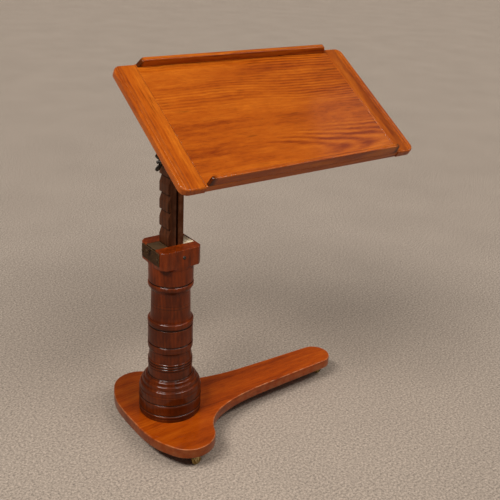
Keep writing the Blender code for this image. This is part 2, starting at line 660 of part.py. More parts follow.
def build_drum(material, stand):
    """Turned drum that stands on the plank and takes the shaft's spigot."""
    profile = [(SPIGOT_RADIUS, PLANK_TOP - SPIGOT_DEPTH), (SPIGOT_RADIUS, PLANK_TOP + GAP)]
    profile += moulded(DRUM_PROFILE_SHARES, PLANK_TOP + GAP)
    top = drum_top()
    cutters = [
        rod("bore", COLUMN_BORE_RADIUS, PLANK_TOP - SPIGOT_DEPTH - CUT_OVERRUN, top, 2 * BOLT_SIDES),
        rod("socket", SPIGOT_RADIUS + GAP, top - SPIGOT_DEPTH, top + CUT_OVERRUN, COLUMN_SIDES),
    ]
    for place in column_screw_places():
        cutters.append(rod("screw_hole", COLUMN_SCREW_RADIUS + GAP, PLANK_TOP - CUT_OVERRUN,
                           column_screw_tip() + GAP, SCREW_SIDES, centre=place))
    finish(combine(turned("column_drum", profile, COLUMN_SIDES), cutters), material, stand)


def build_shaft(material, stand):
    """Turned shaft with a spigot at each end, bored for the mast."""
    foot = drum_top() - SPIGOT_DEPTH + GAP
    profile = [(SPIGOT_RADIUS, foot), (SPIGOT_RADIUS, drum_top() + GAP)]
    profile += moulded(SHAFT_PROFILE_SHARES, PLANK_TOP + 2 * GAP)
    profile.append((HEAD_HALF_WIDTH, profile[-1][1] + HEAD_TOP_CHAMFER))
    spigot_top = HEAD_FOOT + SPIGOT_DEPTH - GAP
    profile += [(HEAD_HALF_WIDTH, HEAD_FOOT - GAP), (HEAD_SPIGOT_RADIUS, HEAD_FOOT - GAP),
                (HEAD_SPIGOT_RADIUS, spigot_top)]
    bore = rod("bore", COLUMN_BORE_RADIUS, foot - CUT_OVERRUN, MORTISE_FLOOR, 2 * BOLT_SIDES)
    shaft = turned("column_shaft", profile, COLUMN_SIDES)
    finish(combine(shaft, [bore, mortise_cutter(MORTISE_FLOOR - CUT_OVERRUN)]), material, stand)


def build_head(material, stand):
    """Square head that slopes down to the round shaft, with the slot for catch and packing."""
    angles = head_angles()
    rings = [[(HEAD_HALF_WIDTH * math.cos(a), HEAD_HALF_WIDTH * math.sin(a), HEAD_FOOT) for a in angles]]
    for height, inset in ((HEAD_TOP - HEAD_HEIGHT, 0.0), (HEAD_TOP - HEAD_TOP_CHAMFER, 0.0),
                          (HEAD_TOP, HEAD_TOP_CHAMFER)):
        radii = [head_radius(a, inset) for a in angles]
        rings.append([(radius * math.cos(a), radius * math.sin(a), height) for radius, a in zip(radii, angles)])
    head = loft("column_head", rings)
    slot_end = MAST_HALF + SLIDE_GAP + PACKING_LENGTH + GAP
    front = -HEAD_HALF_WIDTH
    cutters = [
        rod("socket", HEAD_SPIGOT_RADIUS + GAP, HEAD_FOOT - CUT_OVERRUN, HEAD_FOOT + SPIGOT_DEPTH,
            COLUMN_SIDES),
        mortise_cutter(HEAD_FOOT),
        block("slot", (front - CUT_OVERRUN, slot_end), (-MORTISE_HALF, MORTISE_HALF),
              (SLOT_FLOOR, HEAD_TOP + CUT_OVERRUN)),
        rod("guide_hole", GUIDE_SCREW_RADIUS + GAP, front - CUT_OVERRUN, -MAST_HALF, SCREW_SIDES, "Y",
            (GUIDE_SCREW_HEIGHT, GUIDE_OFFSET)),
        rod("pin_hole", STOP_PIN_RADIUS + GAP, front + STOP_PIN_HEAD_HEIGHT, HEAD_HALF_WIDTH + CUT_OVERRUN,
            SCREW_SIDES, "Y", stop_pin_centre()),
    ]
    for place in catch_screw_places():
        cutters.append(rod("screw_hole", CATCH_SCREW_RADIUS + GAP, front - CUT_OVERRUN,
                           catch_screw_tip() + GAP, SCREW_SIDES, "X", place))
    finish(combine(head, cutters), material, stand)


def build_column_screws(material, stand):
    for number, place in enumerate(column_screw_places(), 1):
        screw = wood_screw("column_screw_%d" % number, COLUMN_SCREW_RADIUS, COLUMN_SCREW_HEAD_RADIUS,
                           COLUMN_SCREW_HEAD_HEIGHT, PLANK_BOTTOM, column_screw_tip(), centre=place)
        finish(screw, material, stand)


def build_packing_block(material, stand):
    """Pale block that fills the +X end of the head's slot and bears on the mast."""
    inner = MAST_HALF + SLIDE_GAP
    packing = block("packing_block", (inner, inner + PACKING_LENGTH), (GAP - MORTISE_HALF, MORTISE_HALF - GAP),
                    (SLOT_FLOOR + GAP, SLOT_FLOOR + GAP + PACKING_HEIGHT))
    finish(packing, material, stand)


def build_guide_screw(material, stand):
    screw = round_head_screw("guide_screw", GUIDE_SCREW_RADIUS, GUIDE_SCREW_HEAD_RADIUS,
                             GUIDE_SCREW_HEAD_HEIGHT, -HEAD_HALF_WIDTH - GAP, GUIDE_SCREW_BITE - MAST_HALF, "Y",
                             (GUIDE_SCREW_HEIGHT, GUIDE_OFFSET))
    finish(screw, material, stand)


# Catch

def catch_screw_places():
    """Screw centres in the YZ plane of the catch plate."""
    side = CATCH_PLATE_HALF_WIDTH - CATCH_SCREW_INSET
    height = HEAD_TOP - CATCH_PLATE_DROP - CATCH_PLATE_HEIGHT / 2
    return [(-side, height), (side, height)]


def catch_screw_tip():
    return CATCH_PLATE_OUTER_X + CATCH_SCREW_LENGTH


def stop_pin_centre():
    return (HEAD_TOP - STOP_PIN_DROP, STOP_PIN_INSET - HEAD_HALF_WIDTH)


def build_catch(metals, stand):
    """Plate, plate screws and stop pin are fixed; bolt and pull slide together along X."""
    iron, steel = metals
    plate_top = HEAD_TOP - CATCH_PLATE_DROP
    half = CATCH_PLATE_HALF_WIDTH
    corner = CATCH_PLATE_CORNER
    low = plate_top - CATCH_PLATE_HEIGHT
    outline = [(-half + corner, low), (half - corner, low), (half, low + corner), (half, plate_top - corner),
               (half - corner, plate_top), (-half + corner, plate_top), (-half, plate_top - corner),
               (-half, low + corner)]
    plate = prism("catch_plate", outline, "X", CATCH_PLATE_OUTER_X, CATCH_PLATE_INNER_X)
    cutters = [rod("stem_hole", PULL_STEM_RADIUS + 2 * SLIDE_GAP, CATCH_PLATE_OUTER_X - CUT_OVERRUN,
                   CATCH_PLATE_INNER_X + CUT_OVERRUN, BOLT_SIDES, "X", (0.0, STEM_HEIGHT))]
    for place in catch_screw_places():
        cutters.append(rod("hole", CATCH_SCREW_RADIUS + GAP, CATCH_PLATE_OUTER_X - CUT_OVERRUN,
                           CATCH_PLATE_INNER_X + CUT_OVERRUN, SCREW_SIDES, "X", place))
    finish(combine(plate, cutters), iron, stand)

    for number, place in enumerate(catch_screw_places(), 1):
        screw = round_head_screw("catch_screw_%d" % number, CATCH_SCREW_RADIUS, CATCH_SCREW_HEAD_RADIUS,
                                 CATCH_SCREW_HEAD_HEIGHT, CATCH_PLATE_OUTER_X - GAP, catch_screw_tip(),
                                 "X", place)
        finish(screw, steel, stand)

    pin = round_head_screw("catch_stop_pin", STOP_PIN_RADIUS, STOP_PIN_HEAD_RADIUS, STOP_PIN_HEAD_HEIGHT,
                           HEAD_HALF_WIDTH + GAP, GAP + STOP_PIN_HEAD_HEIGHT - HEAD_HALF_WIDTH, "Y",
                           stop_pin_centre())
    finish(pin, steel, stand)

    slide = make_empty("catch_slide", (0.0, 0.0, STEM_HEIGHT), stand)
    finish(build_catch_bolt(), iron, slide)
    finish(build_catch_pull(), iron, slide)
    build_catch_spring(steel, stand)


def build_catch_bolt():
    """Profile in the XZ plane: nose, sloped front, and a flange that roofs the spring."""
    top = CATCH_TOP - STEM_HEIGHT
    bottom = top - CATCH_HEIGHT
    slope = TOOTH_DEPTH / TOOTH_SLOPE_HEIGHT
    nose_low = top - CATCH_NOSE_HEIGHT
    foot_x = CATCH_NOSE_X - slope * (CATCH_HEIGHT - CATCH_NOSE_HEIGHT)
    flange_end = CATCH_PLATE_INNER_X + GAP
    flange_low = top - CATCH_FLANGE_HEIGHT
    outline = [(top, CATCH_NOSE_X), (top, flange_end), (flange_low, flange_end), (flange_low, CATCH_BACK_X),
               (bottom, CATCH_BACK_X), (bottom, foot_x), (nose_low, CATCH_NOSE_X)]
    half = MORTISE_HALF - SLIDE_GAP
    bolt = prism("catch_bolt", outline, "Y", -half, half)
    pin_z, pin_x = stop_pin_centre()
    pin_room = STOP_PIN_RADIUS + SLIDE_GAP
    pocket_end = CATCH_BACK_X + SPRING_POCKET_DEPTH
    return combine(bolt, [
        rod("spring_pocket", SPRING_POCKET_RADIUS, CATCH_BACK_X - CUT_OVERRUN, pocket_end, BOLT_SIDES, "X"),
        rod("stem_bore", PULL_STEM_RADIUS + GAP, pocket_end - CUT_OVERRUN, pocket_end + PULL_STEM_BITE + GAP,
            BOLT_SIDES, "X"),
        block("pin_slot", (pin_x - pin_room - CATCH_TRAVEL, pin_x + pin_room),
              (-half - CUT_OVERRUN, half + CUT_OVERRUN),
              (pin_z - STEM_HEIGHT - pin_room, pin_z - STEM_HEIGHT + pin_room)),
    ])


def build_catch_pull():
    """Stem through the plate with a turned knob that clears the plate at full travel."""
    inner_end = CATCH_BACK_X + SPRING_POCKET_DEPTH + PULL_STEM_BITE
    knob_start = CATCH_PLATE_OUTER_X - CATCH_TRAVEL - SLIDE_GAP
    knob_end = knob_start - PULL_KNOB_LENGTH
    knob_middle = (knob_start + knob_end) / 2
    neck = PULL_KNOB_RADIUS * PULL_NECK_SHARE
    shoulder = PULL_KNOB_RADIUS * PULL_SHOULDER_SHARE
    profile = ((PULL_STEM_RADIUS, inner_end), (PULL_STEM_RADIUS, knob_start), (neck, knob_start),
               (PULL_KNOB_RADIUS, knob_middle), (shoulder, (knob_middle + knob_end) / 2), (neck, knob_end))
    return turned("catch_pull", profile, BOLT_SIDES, "X")


def build_catch_spring(material, stand):
    """Compression spring round the stem, as a helix with its wire as a bevel."""
    start = CATCH_PLATE_INNER_X + GAP + SPRING_WIRE_RADIUS
    end = CATCH_BACK_X + SPRING_POCKET_DEPTH - GAP - SPRING_WIRE_RADIUS
    curve = bpy.data.curves.new("catch_spring", "CURVE")
    curve.dimensions = "3D"
    curve.bevel_depth = SPRING_WIRE_RADIUS
    curve.bevel_resolution = 1
    curve.use_fill_caps = True
    spline = curve.splines.new("POLY")
    count = SPRING_TURNS * SPRING_POINTS_PER_TURN
    spline.points.add(count)
    for index in range(count + 1):
        angle = 2 * math.pi * index / SPRING_POINTS_PER_TURN
        spline.points[index].co = (start + (end - start) * index / count, SPRING_RADIUS * math.cos(angle),
                                   STEM_HEIGHT + SPRING_RADIUS * math.sin(angle), 1.0)
    curve.materials.append(material)
    spring = bpy.data.objects.new("catch_spring", curve)
    bpy.context.scene.collection.objects.link(spring)
    spring.parent = stand


# Mast

def mast_outline():
    """Pairs of z and x: straight +X side, then down the -X side with a notch under each ledge."""
    top = PIVOT_HEIGHT + MAST_HALF
    outline = [(MAST_BOTTOM, -MAST_HALF), (MAST_BOTTOM, MAST_HALF), (top, MAST_HALF), (top, -MAST_HALF)]
    for index in range(TEETH_ABOVE, -TEETH_BELOW - 1, -1):
        ledge = LEDGE_HEIGHT_AT_CATCH + index * TOOTH_PITCH
        outline += [(ledge, -MAST_HALF), (ledge, TOOTH_DEPTH - MAST_HALF),
                    (ledge - TOOTH_SLOPE_HEIGHT, -MAST_HALF)]
    return outline


def build_mast(material, lift):
    """Toothed post with a rounded top, a slot for the tongue and the guide groove."""
    mast = prism("mast", mast_outline(), "Y", -MAST_HALF, MAST_HALF)
    reach = MAST_HALF + CUT_OVERRUN
    dome = arc((0.0, PIVOT_HEIGHT), MAST_HALF, math.pi, 0.0, ARC_STEPS)
    crown = [(-reach, PIVOT_HEIGHT), *dome, (reach, PIVOT_HEIGHT), (reach, PIVOT_HEIGHT + MAST_WIDTH),
             (-reach, PIVOT_HEIGHT + MAST_WIDTH)]
    slot_half = TONGUE_THICKNESS / 2 + SLIDE_GAP
    groove_room = GUIDE_SCREW_RADIUS + 2 * SLIDE_GAP
    combine(mast, [
        prism("crown", crown, "X", -reach, reach),
        block("slot", (-slot_half, slot_half), (-reach, reach),
              (PIVOT_HEIGHT - TONGUE_RADIUS - 2 * SLIDE_GAP, PIVOT_HEIGHT + reach)),
        rod("bolt_hole", BOLT_RADIUS + GAP, -reach, reach, BOLT_SIDES, "X", (0.0, PIVOT_HEIGHT)),
        block("groove", (GUIDE_OFFSET - GROOVE_WIDTH / 2, GUIDE_OFFSET + GROOVE_WIDTH / 2),
              (-reach, GROOVE_DEPTH - MAST_HALF),
              (GUIDE_SCREW_HEIGHT - TEETH_BELOW * TOOTH_PITCH - groove_room,
               GUIDE_SCREW_HEIGHT + TEETH_ABOVE * TOOTH_PITCH + groove_room)),
    ])
    finish(mast, material, lift)


def build_tilt_bolt(material, lift):
    """Bolt, its two washers and nothing that turns."""
    washer_inner = MAST_HALF + GAP
    washer_outer = washer_inner + WASHER_THICKNESS
    head_seat = washer_outer + GAP
    head_end = head_seat + BOLT_HEAD_HEIGHT
    centre = (0.0, PIVOT_HEIGHT)
    shoulder = BOLT_HEAD_RADIUS * DOME_SHOULDER_SHARE
    profile = ((BOLT_HEAD_RADIUS / 2, head_end), (shoulder, (head_seat + head_end) / 2),
               (BOLT_HEAD_RADIUS, head_seat), (BOLT_RADIUS, head_seat), (BOLT_RADIUS, -BOLT_END_REACH))
    finish(turned("tilt_bolt", profile, BOLT_SIDES, "X", centre), material, lift)
    for name, direction in (("washer_left", -1), ("washer_right", 1)):
        washer = rod(name, WASHER_RADIUS, direction * washer_inner, direction * washer_outer,
                     PLATE_SIDES, "X", centre)
        hole = rod("hole", BOLT_RADIUS + GAP, direction * (washer_inner - CUT_OVERRUN),
                   direction * (washer_outer + CUT_OVERRUN), BOLT_SIDES, "X", centre)
        finish(combine(washer, [hole]), material, lift)


def wing_outline(side):
    """Two circles and their tangents: a tapered capsule in the ZX plane."""
    start = -(MAST_HALF + 3 * GAP + WASHER_THICKNESS + NUT_HEIGHT / 2)
    end = -(MAST_HALF + 3 * GAP + WASHER_THICKNESS + NUT_HEIGHT + WING_TIP_RISE)
    root = (side * WING_ROOT_OFFSET, start)
    tip = (side * WING_TIP_OFFSET, end)
    heading = math.atan2(tip[1] - root[1], tip[0] - root[0])
    spread = math.acos((WING_ROOT_RADIUS - WING_TIP_RADIUS) / math.dist(root, tip))
    tip_arc = arc(tip, WING_TIP_RADIUS, heading - spread, heading + spread, ARC_STEPS)
    root_arc = arc(root, WING_ROOT_RADIUS, heading + spread, heading - spread + 2 * math.pi, ARC_STEPS // 2)
    return tip_arc + root_arc


def build_wing_nut(material, pivot):
    seat = -(MAST_HALF + 3 * GAP + WASHER_THICKNESS)
    body = ((NUT_BASE_RADIUS, seat), (NUT_TIP_RADIUS, seat - NUT_HEIGHT))
    nut = turned("wing_nut", body, PLATE_SIDES, "X")
    wings = [prism("wing", wing_outline(side), "Y", -WING_THICKNESS / 2, WING_THICKNESS / 2)
             for side in (-1, 1)]
    combine(nut, wings, "UNION")
    bore = rod("bore", BOLT_RADIUS + GAP, seat + CUT_OVERRUN, seat - NUT_HEIGHT - WING_TIP_RISE - CUT_OVERRUN,
               BOLT_SIDES, "X")
    turning = make_empty("wing_nut_axis", (0.0, 0.0, 0.0), pivot)
    finish(combine(nut, [bore]), material, turning)


# Board, in its own frame: origin on the bolt axis, third value square to the reading surface

def board_centre():
    return (BOARD_OFFSET, BOARD_SETBACK)


def ledge_outline(inset, slope, height):
    """Front view of a ledge as pairs of height and x, with ends that lean inwards."""
    low = BOARD_TOP - LEDGE_REBATE + GAP
    high = BOARD_TOP + height
    lower_half = PANEL_HALF - inset
    upper_half = lower_half - slope
    return [(low, BOARD_OFFSET + lower_half), (high, BOARD_OFFSET + upper_half),
            (high, BOARD_OFFSET - upper_half), (low, BOARD_OFFSET - lower_half)]


def ledge_screw_places():
    """Plan centres of the screws that hold the ledges, from below the panel."""
    reach = PANEL_HALF * LEDGE_SCREW_END_SHARE
    places = []
    for line in (PANEL_FRONT + FRONT_LEDGE_THICKNESS / 2, PANEL_BACK - BACK_LEDGE_THICKNESS / 2):
        for index in range(LEDGE_SCREWS):
            across = reach * (2 * index / (LEDGE_SCREWS - 1) - 1)
            places.append((BOARD_OFFSET + across, line))
    return places


def bearer_screw_places():
    places = []
    for index, share in enumerate(BEARER_SCREW_PLACE_SHARES):
        reach = BEARER_LEFT if share < 0 else BEARER_RIGHT
        side = BEARER_HALF_WIDTH * BEARER_SCREW_SIDE_SHARE * (1 if index % 2 else -1)
        places.append((reach * share, side))
    return places


def board_screw_holes():
    """Cutters for everything that is screwed up into the board from below."""
    cutters = []
    for place in bearer_screw_places():
        cutters.append(rod("hole", BEARER_SCREW_RADIUS + GAP, BOARD_BOTTOM - CUT_OVERRUN,
                           BOARD_BOTTOM + BEARER_SCREW_BITE + GAP, SCREW_SIDES, centre=place))
    return cutters


def build_panel(material, board):
    """Panel with a tongue at each end for the cleats and a rebate for each ledge."""
    x_middle, y_middle = board_centre()
    half = PANEL_HALF - GAP
    tongue = PANEL_HALF + PANEL_TONGUE_LENGTH
    tongue_low = (BOARD_TOP + BOARD_BOTTOM - PANEL_TONGUE_THICKNESS) / 2
    tongue_high = tongue_low + PANEL_TONGUE_THICKNESS
    right = [(BOARD_BOTTOM, half), (tongue_low, half), (tongue_low, tongue), (tongue_high, tongue),
             (tongue_high, half), (BOARD_TOP, half)]
    outline = [(height, x_middle + x) for height, x in right]
    outline += [(height, x_middle - x) for height, x in reversed(right)]
    panel = prism("top_panel", outline, "Y", PANEL_FRONT, PANEL_BACK)
    depth = CLEAT_LENGTH / 2
    tongue_half = depth - CLEAT_CORNER_RADIUS
    cutters = []
    for side in (-1, 1):
        across = sorted((x_middle + side * half, x_middle + side * (tongue + CUT_OVERRUN)))
        for end in (-1, 1):
            along = sorted((y_middle + end * tongue_half, y_middle + end * (depth + CUT_OVERRUN)))
            cutters.append(block("shoulder", across, along,
                                 (BOARD_BOTTOM - CUT_OVERRUN, BOARD_TOP + CUT_OVERRUN)))
    reach = (x_middle - half - CUT_OVERRUN, x_middle + half + CUT_OVERRUN)
    for start, end in ((PANEL_FRONT - CUT_OVERRUN, PANEL_FRONT + FRONT_LEDGE_THICKNESS + GAP),
                       (PANEL_BACK - BACK_LEDGE_THICKNESS - GAP, PANEL_BACK + CUT_OVERRUN)):
        cutters.append(block("rebate", reach, (start, end),
                             (BOARD_TOP - LEDGE_REBATE, BOARD_TOP + CUT_OVERRUN)))
    for place in ledge_screw_places():
        cutters.append(screw_hole(LEDGE_SCREW_RADIUS, LEDGE_SCREW_HEAD_RADIUS, LEDGE_SCREW_HEAD_HEIGHT,
                                  BOARD_BOTTOM, BOARD_TOP + CUT_OVERRUN, centre=place))
    cutters += board_screw_holes()
    finish(combine(panel, cutters), material, board)


def build_cleat(name, side, material, board):
    """End cleat with two rounded outer corners and a groove for the panel's tongue."""
    x_middle, y_middle = board_centre()
    half = CLEAT_LENGTH / 2
    radius = CLEAT_CORNER_RADIUS
    outer = BOARD_HALF
    upper = arc((outer - radius, half - radius), radius, 0.0, math.pi / 2, ARC_STEPS // 2)
    lower = [(x, -y) for x, y in reversed(upper)]
    plan = [(PANEL_HALF, -half), *lower, *upper, (PANEL_HALF, half)]
    outline = [(x_middle + side * x, y_middle + y) for x, y in plan]
    cleat = prism(name, outline, "Z", BOARD_BOTTOM, BOARD_TOP)
    joint = x_middle + side * PANEL_HALF
    round_edges(cleat, CLEAT_EDGE_ROUND, 2, lambda point: point.z > BOARD_TOP - GAP,
                lambda point: abs(point.x - joint) < GAP)
    groove_half = half - radius + GAP
    groove = PANEL_TONGUE_THICKNESS / 2 + GAP
    middle = (BOARD_TOP + BOARD_BOTTOM) / 2
    cutters = [block("groove", sorted((joint - side * CUT_OVERRUN, joint + side * (PANEL_TONGUE_LENGTH + GAP))),
                     (y_middle - groove_half, y_middle + groove_half), (middle - groove, middle + groove))]
    if side < 0:
        cutters += board_screw_holes()
    finish(combine(cleat, cutters), material, board)


def build_ledges(wood, steel, board):
    front = ledge_outline(FRONT_LEDGE_INSET, FRONT_LEDGE_SLOPE, FRONT_LEDGE_HEIGHT)
    back = ledge_outline(BACK_LEDGE_INSET, BACK_LEDGE_SLOPE, BACK_LEDGE_HEIGHT)
    spans = {
        "ledge_front": (front, FRONT_LEDGE_HEIGHT, PANEL_FRONT, PANEL_FRONT + FRONT_LEDGE_THICKNESS),
        "ledge_back": (back, BACK_LEDGE_HEIGHT, PANEL_BACK - BACK_LEDGE_THICKNESS, PANEL_BACK),
    }
    screw_tip = BOARD_TOP + LEDGE_SCREW_BITE
    for name, (outline, height, start, end) in spans.items():
        ledge = prism(name, outline, "Y", start, end)
        round_edges(ledge, LEDGE_TOP_ROUND, 2, lambda point: point.z > BOARD_TOP + height - GAP)
        holes = [rod("hole", LEDGE_SCREW_RADIUS + GAP, BOARD_TOP - CUT_OVERRUN, screw_tip + GAP, SCREW_SIDES,
                     centre=place) for place in ledge_screw_places() if start < place[1] < end]
        finish(combine(ledge, holes), wood, board)
    for number, place in enumerate(ledge_screw_places(), 1):
        screw = wood_screw("ledge_screw_%d" % number, LEDGE_SCREW_RADIUS, LEDGE_SCREW_HEAD_RADIUS,
                           LEDGE_SCREW_HEAD_HEIGHT, BOARD_BOTTOM, screw_tip, centre=place)
        finish(screw, steel, board)


def build_bearer(wood, steel, board):
    """Bearer with chamfered ends, screwed up into the cleat and the panel."""
    half = BEARER_HALF_WIDTH
    cut = BEARER_END_CHAMFER
    outline = [(cut - BEARER_LEFT, -half), (BEARER_RIGHT - cut, -half), (BEARER_RIGHT, cut - half),
               (BEARER_RIGHT, half - cut), (BEARER_RIGHT - cut, half), (cut - BEARER_LEFT, half),
               (-BEARER_LEFT, half - cut), (-BEARER_LEFT, cut - half)]
    bearer = prism("board_bearer", outline, "Z", BEARER_BOTTOM, BEARER_TOP)
    tip = BOARD_BOTTOM + BEARER_SCREW_BITE
    holes = [screw_hole(BEARER_SCREW_RADIUS, BEARER_SCREW_HEAD_RADIUS, BEARER_SCREW_HEAD_HEIGHT,
                        BEARER_BOTTOM, tip, centre=place) for place in bearer_screw_places()]
    mortise_half = TONGUE_THICKNESS / 2 + GAP
    holes.append(block("tenon_mortise", (-mortise_half, mortise_half),
                       (-TENON_HALF_WIDTH - GAP, TENON_HALF_WIDTH + GAP),
                       (BEARER_BOTTOM - CUT_OVERRUN, BEARER_TOP + CUT_OVERRUN)))
    finish(combine(bearer, holes), wood, board)
    for number, place in enumerate(bearer_screw_places(), 1):
        screw = wood_screw("bearer_screw_%d" % number, BEARER_SCREW_RADIUS, BEARER_SCREW_HEAD_RADIUS,
                           BEARER_SCREW_HEAD_HEIGHT, BEARER_BOTTOM, tip, centre=place)
        finish(screw, steel, board)


def build_tongue(material, board):
    """Rounded below the bolt, flared above it, with a tenon through the bearer."""
    top = BEARER_BOTTOM - GAP
    tenon_top = BEARER_TOP - GAP
    outline = arc((0.0, 0.0), TONGUE_RADIUS, math.pi, 2 * math.pi, ARC_STEPS)
    outline += [(TONGUE_TOP_HALF_WIDTH, top), (TENON_HALF_WIDTH, top), (TENON_HALF_WIDTH, tenon_top),
                (-TENON_HALF_WIDTH, tenon_top), (-TENON_HALF_WIDTH, top), (-TONGUE_TOP_HALF_WIDTH, top)]
    tongue = prism("tilt_tongue", outline, "X", -TONGUE_THICKNESS / 2, TONGUE_THICKNESS / 2)
    hole = rod("bolt_hole", BOLT_RADIUS + GAP, -TONGUE_THICKNESS, TONGUE_THICKNESS, BOLT_SIDES, "X")
    finish(combine(tongue, [hole]), material, board)


def build_stand():
    clear_scene()
    plank_wood, column_wood, mast_wood, board_wood, packing_wood, iron, brass, steel = [
        make_material(name, *finish_of) for name, finish_of in MATERIAL_FINISHES.items()]

    stand = make_empty("stand", (COLUMN_X, 0.0, 0.0))
    build_plank(plank_wood, stand)
    for place_name, place in castor_places().items():
        build_castor(place_name, place, (brass, steel), stand)
    build_drum(column_wood, stand)
    build_shaft(column_wood, stand)
    build_head(column_wood, stand)
    build_column_screws(steel, stand)
    build_packing_block(packing_wood, stand)
    build_guide_screw(steel, stand)
    build_catch((iron, steel), stand)

    lift = make_empty("lift", (0.0, 0.0, 0.0), stand)
    build_mast(mast_wood, lift)
    build_tilt_bolt(iron, lift)
    pivot = make_empty("pivot", (0.0, 0.0, PIVOT_HEIGHT), lift)
    build_wing_nut(iron, pivot)

    board = make_empty("board", (0.0, 0.0, 0.0), pivot, (BOARD_TILT, 0.0, 0.0))
    build_panel(board_wood, board)
    build_cleat("cleat_left", -1, board_wood, board)
    build_cleat("cleat_right", 1, board_wood, board)
    build_ledges(board_wood, steel, board)
    build_bearer(plank_wood, steel, board)
    build_tongue(mast_wood, board)


build_stand()
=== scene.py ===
import json

import bmesh
import bpy
import numpy as np
from mathutils import Matrix

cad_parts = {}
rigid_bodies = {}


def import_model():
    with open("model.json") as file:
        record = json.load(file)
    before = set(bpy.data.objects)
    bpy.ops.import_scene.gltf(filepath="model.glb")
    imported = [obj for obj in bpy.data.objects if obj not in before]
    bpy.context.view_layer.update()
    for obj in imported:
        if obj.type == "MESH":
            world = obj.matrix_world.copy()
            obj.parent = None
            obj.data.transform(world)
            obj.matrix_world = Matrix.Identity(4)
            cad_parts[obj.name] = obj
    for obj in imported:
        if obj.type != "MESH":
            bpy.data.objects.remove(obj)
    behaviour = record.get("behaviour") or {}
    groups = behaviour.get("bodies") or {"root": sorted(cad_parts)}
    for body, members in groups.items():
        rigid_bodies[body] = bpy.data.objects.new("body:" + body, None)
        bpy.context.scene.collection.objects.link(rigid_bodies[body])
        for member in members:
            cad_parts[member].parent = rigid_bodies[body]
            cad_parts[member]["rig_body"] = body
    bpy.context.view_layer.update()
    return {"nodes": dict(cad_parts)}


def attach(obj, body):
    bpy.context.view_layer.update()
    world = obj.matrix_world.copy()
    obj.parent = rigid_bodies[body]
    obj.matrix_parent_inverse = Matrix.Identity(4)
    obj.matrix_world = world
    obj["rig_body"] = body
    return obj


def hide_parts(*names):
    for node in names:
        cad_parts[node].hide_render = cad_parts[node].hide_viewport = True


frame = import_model()
scene = bpy.context.scene
nodes = frame["nodes"]
print("frame loaded:", len(nodes), "solids")


# Every piece is worked out in the world or in the board's own place, whose origin is on the tilt bolt,
# with x along the bolt and z square to the reading surface.
stand = {
    "columnX": -0.26125,        # column axis
    "pivotHeight": 0.7385,      # tilt bolt above the floor
    "boardTilt": 32.5,          # degrees
    "gap": 0.0003,              # left beside a piece that another one meets
}
cx, pivot, tilt = stand["columnX"], stand["pivotHeight"], np.radians(stand["boardTilt"])
worldPlace = {"origin": np.zeros(3), "turn": np.eye(3), "angle": 0.0}
boardPlace = {
    "origin": np.array([cx, 0.0, pivot]),
    "turn": np.array([[1, 0, 0], [0, np.cos(tilt), -np.sin(tilt)], [0, np.sin(tilt), np.cos(tilt)]]),
    "angle": tilt,
}


def quarter(steps):
    return np.linspace(0, np.pi / 2, steps)


def readAll(items, name, width, kind=np.float32):  # one row of numbers for each item
    flat = np.empty(len(items) * width, kind)
    items.foreach_get(name, flat)
    return flat.reshape(-1, width)


def nodeBox(node, place=worldPlace):  # lowest and highest corner of a solid, in a place
    points = readAll(nodes[node].data.vertices, "co", 3).astype(float)
    local = (points - place["origin"]) @ place["turn"]
    return local.min(0), local.max(0)


# Surfaces

# Rows by columns of points become four-sided faces; looped joins the last column to the first
def gridFaces(rows, columns, looped=True):
    row, column = np.meshgrid(np.arange(rows - 1), np.arange(columns if looped else columns - 1), indexing="ij")
    beside = (column + 1) % columns
    faces = np.stack([row * columns + column, row * columns + beside,
                      (row + 1) * columns + beside, (row + 1) * columns + column], -1)
    return faces.reshape(-1, 4).tolist()


# Points whose rise runs along the axis, with the other two directions in their usual order
def standing(first, second, rise, axis):
    columns = {"z": (first, second, rise), "y": (first, rise, second), "x": (rise, first, second)}[axis]
    return np.stack(np.broadcast_arrays(*columns), -1)


# A grid of points as a closed skin: its first and last rings get one face each, unless the rings meet
def skin(points, place=worldPlace, ends=True):
    rows, columns = points.shape[:2]
    faces = gridFaces(rows, columns)
    if ends:
        faces += [list(range(columns))[::-1], list(range((rows - 1) * columns, rows * columns))]
    world = points.reshape(-1, 3) @ place["turn"].T + place["origin"]
    mesh = bpy.data.meshes.new("skin")
    mesh.from_pydata(world.tolist(), [], faces)
    return welded(mesh)


def welded(mesh, gap=2e-6):  # doubles merged, then every face turned outwards
    shape = bmesh.new()
    shape.from_mesh(mesh)
    bmesh.ops.remove_doubles(shape, verts=shape.verts, dist=gap)
    bmesh.ops.dissolve_degenerate(shape, edges=shape.edges, dist=gap)
    bmesh.ops.recalc_face_normals(shape, faces=shape.faces)
    shape.to_mesh(mesh)
    shape.free()
    return mesh


# Each corner P gives way to (1-s)^2 A + 2s(1-s) P + s^2 B, with A and B a cut's length before and after P
def easeCorners(points, cut, looped=True, steps=4):
    points = np.asarray(points, float)
    before, after = np.roll(points, 1, 0) - points, np.roll(points, -1, 0) - points
    lengths = np.linalg.norm(before, axis=1), np.linalg.norm(after, axis=1)
    reach = np.minimum(cut, 0.45 * np.minimum(*lengths))
    if not looped:
        reach[[0, -1]] = 0.0
    start = points + before * (reach / lengths[0])[:, None]
    end = points + after * (reach / lengths[1])[:, None]
    s = np.linspace(0, 1, steps + 1)[None, :, None]
    curve = (1 - s) ** 2 * start[:, None] + 2 * s * (1 - s) * points[:, None] + s ** 2 * end[:, None]
    return curve.reshape(-1, points.shape[1])


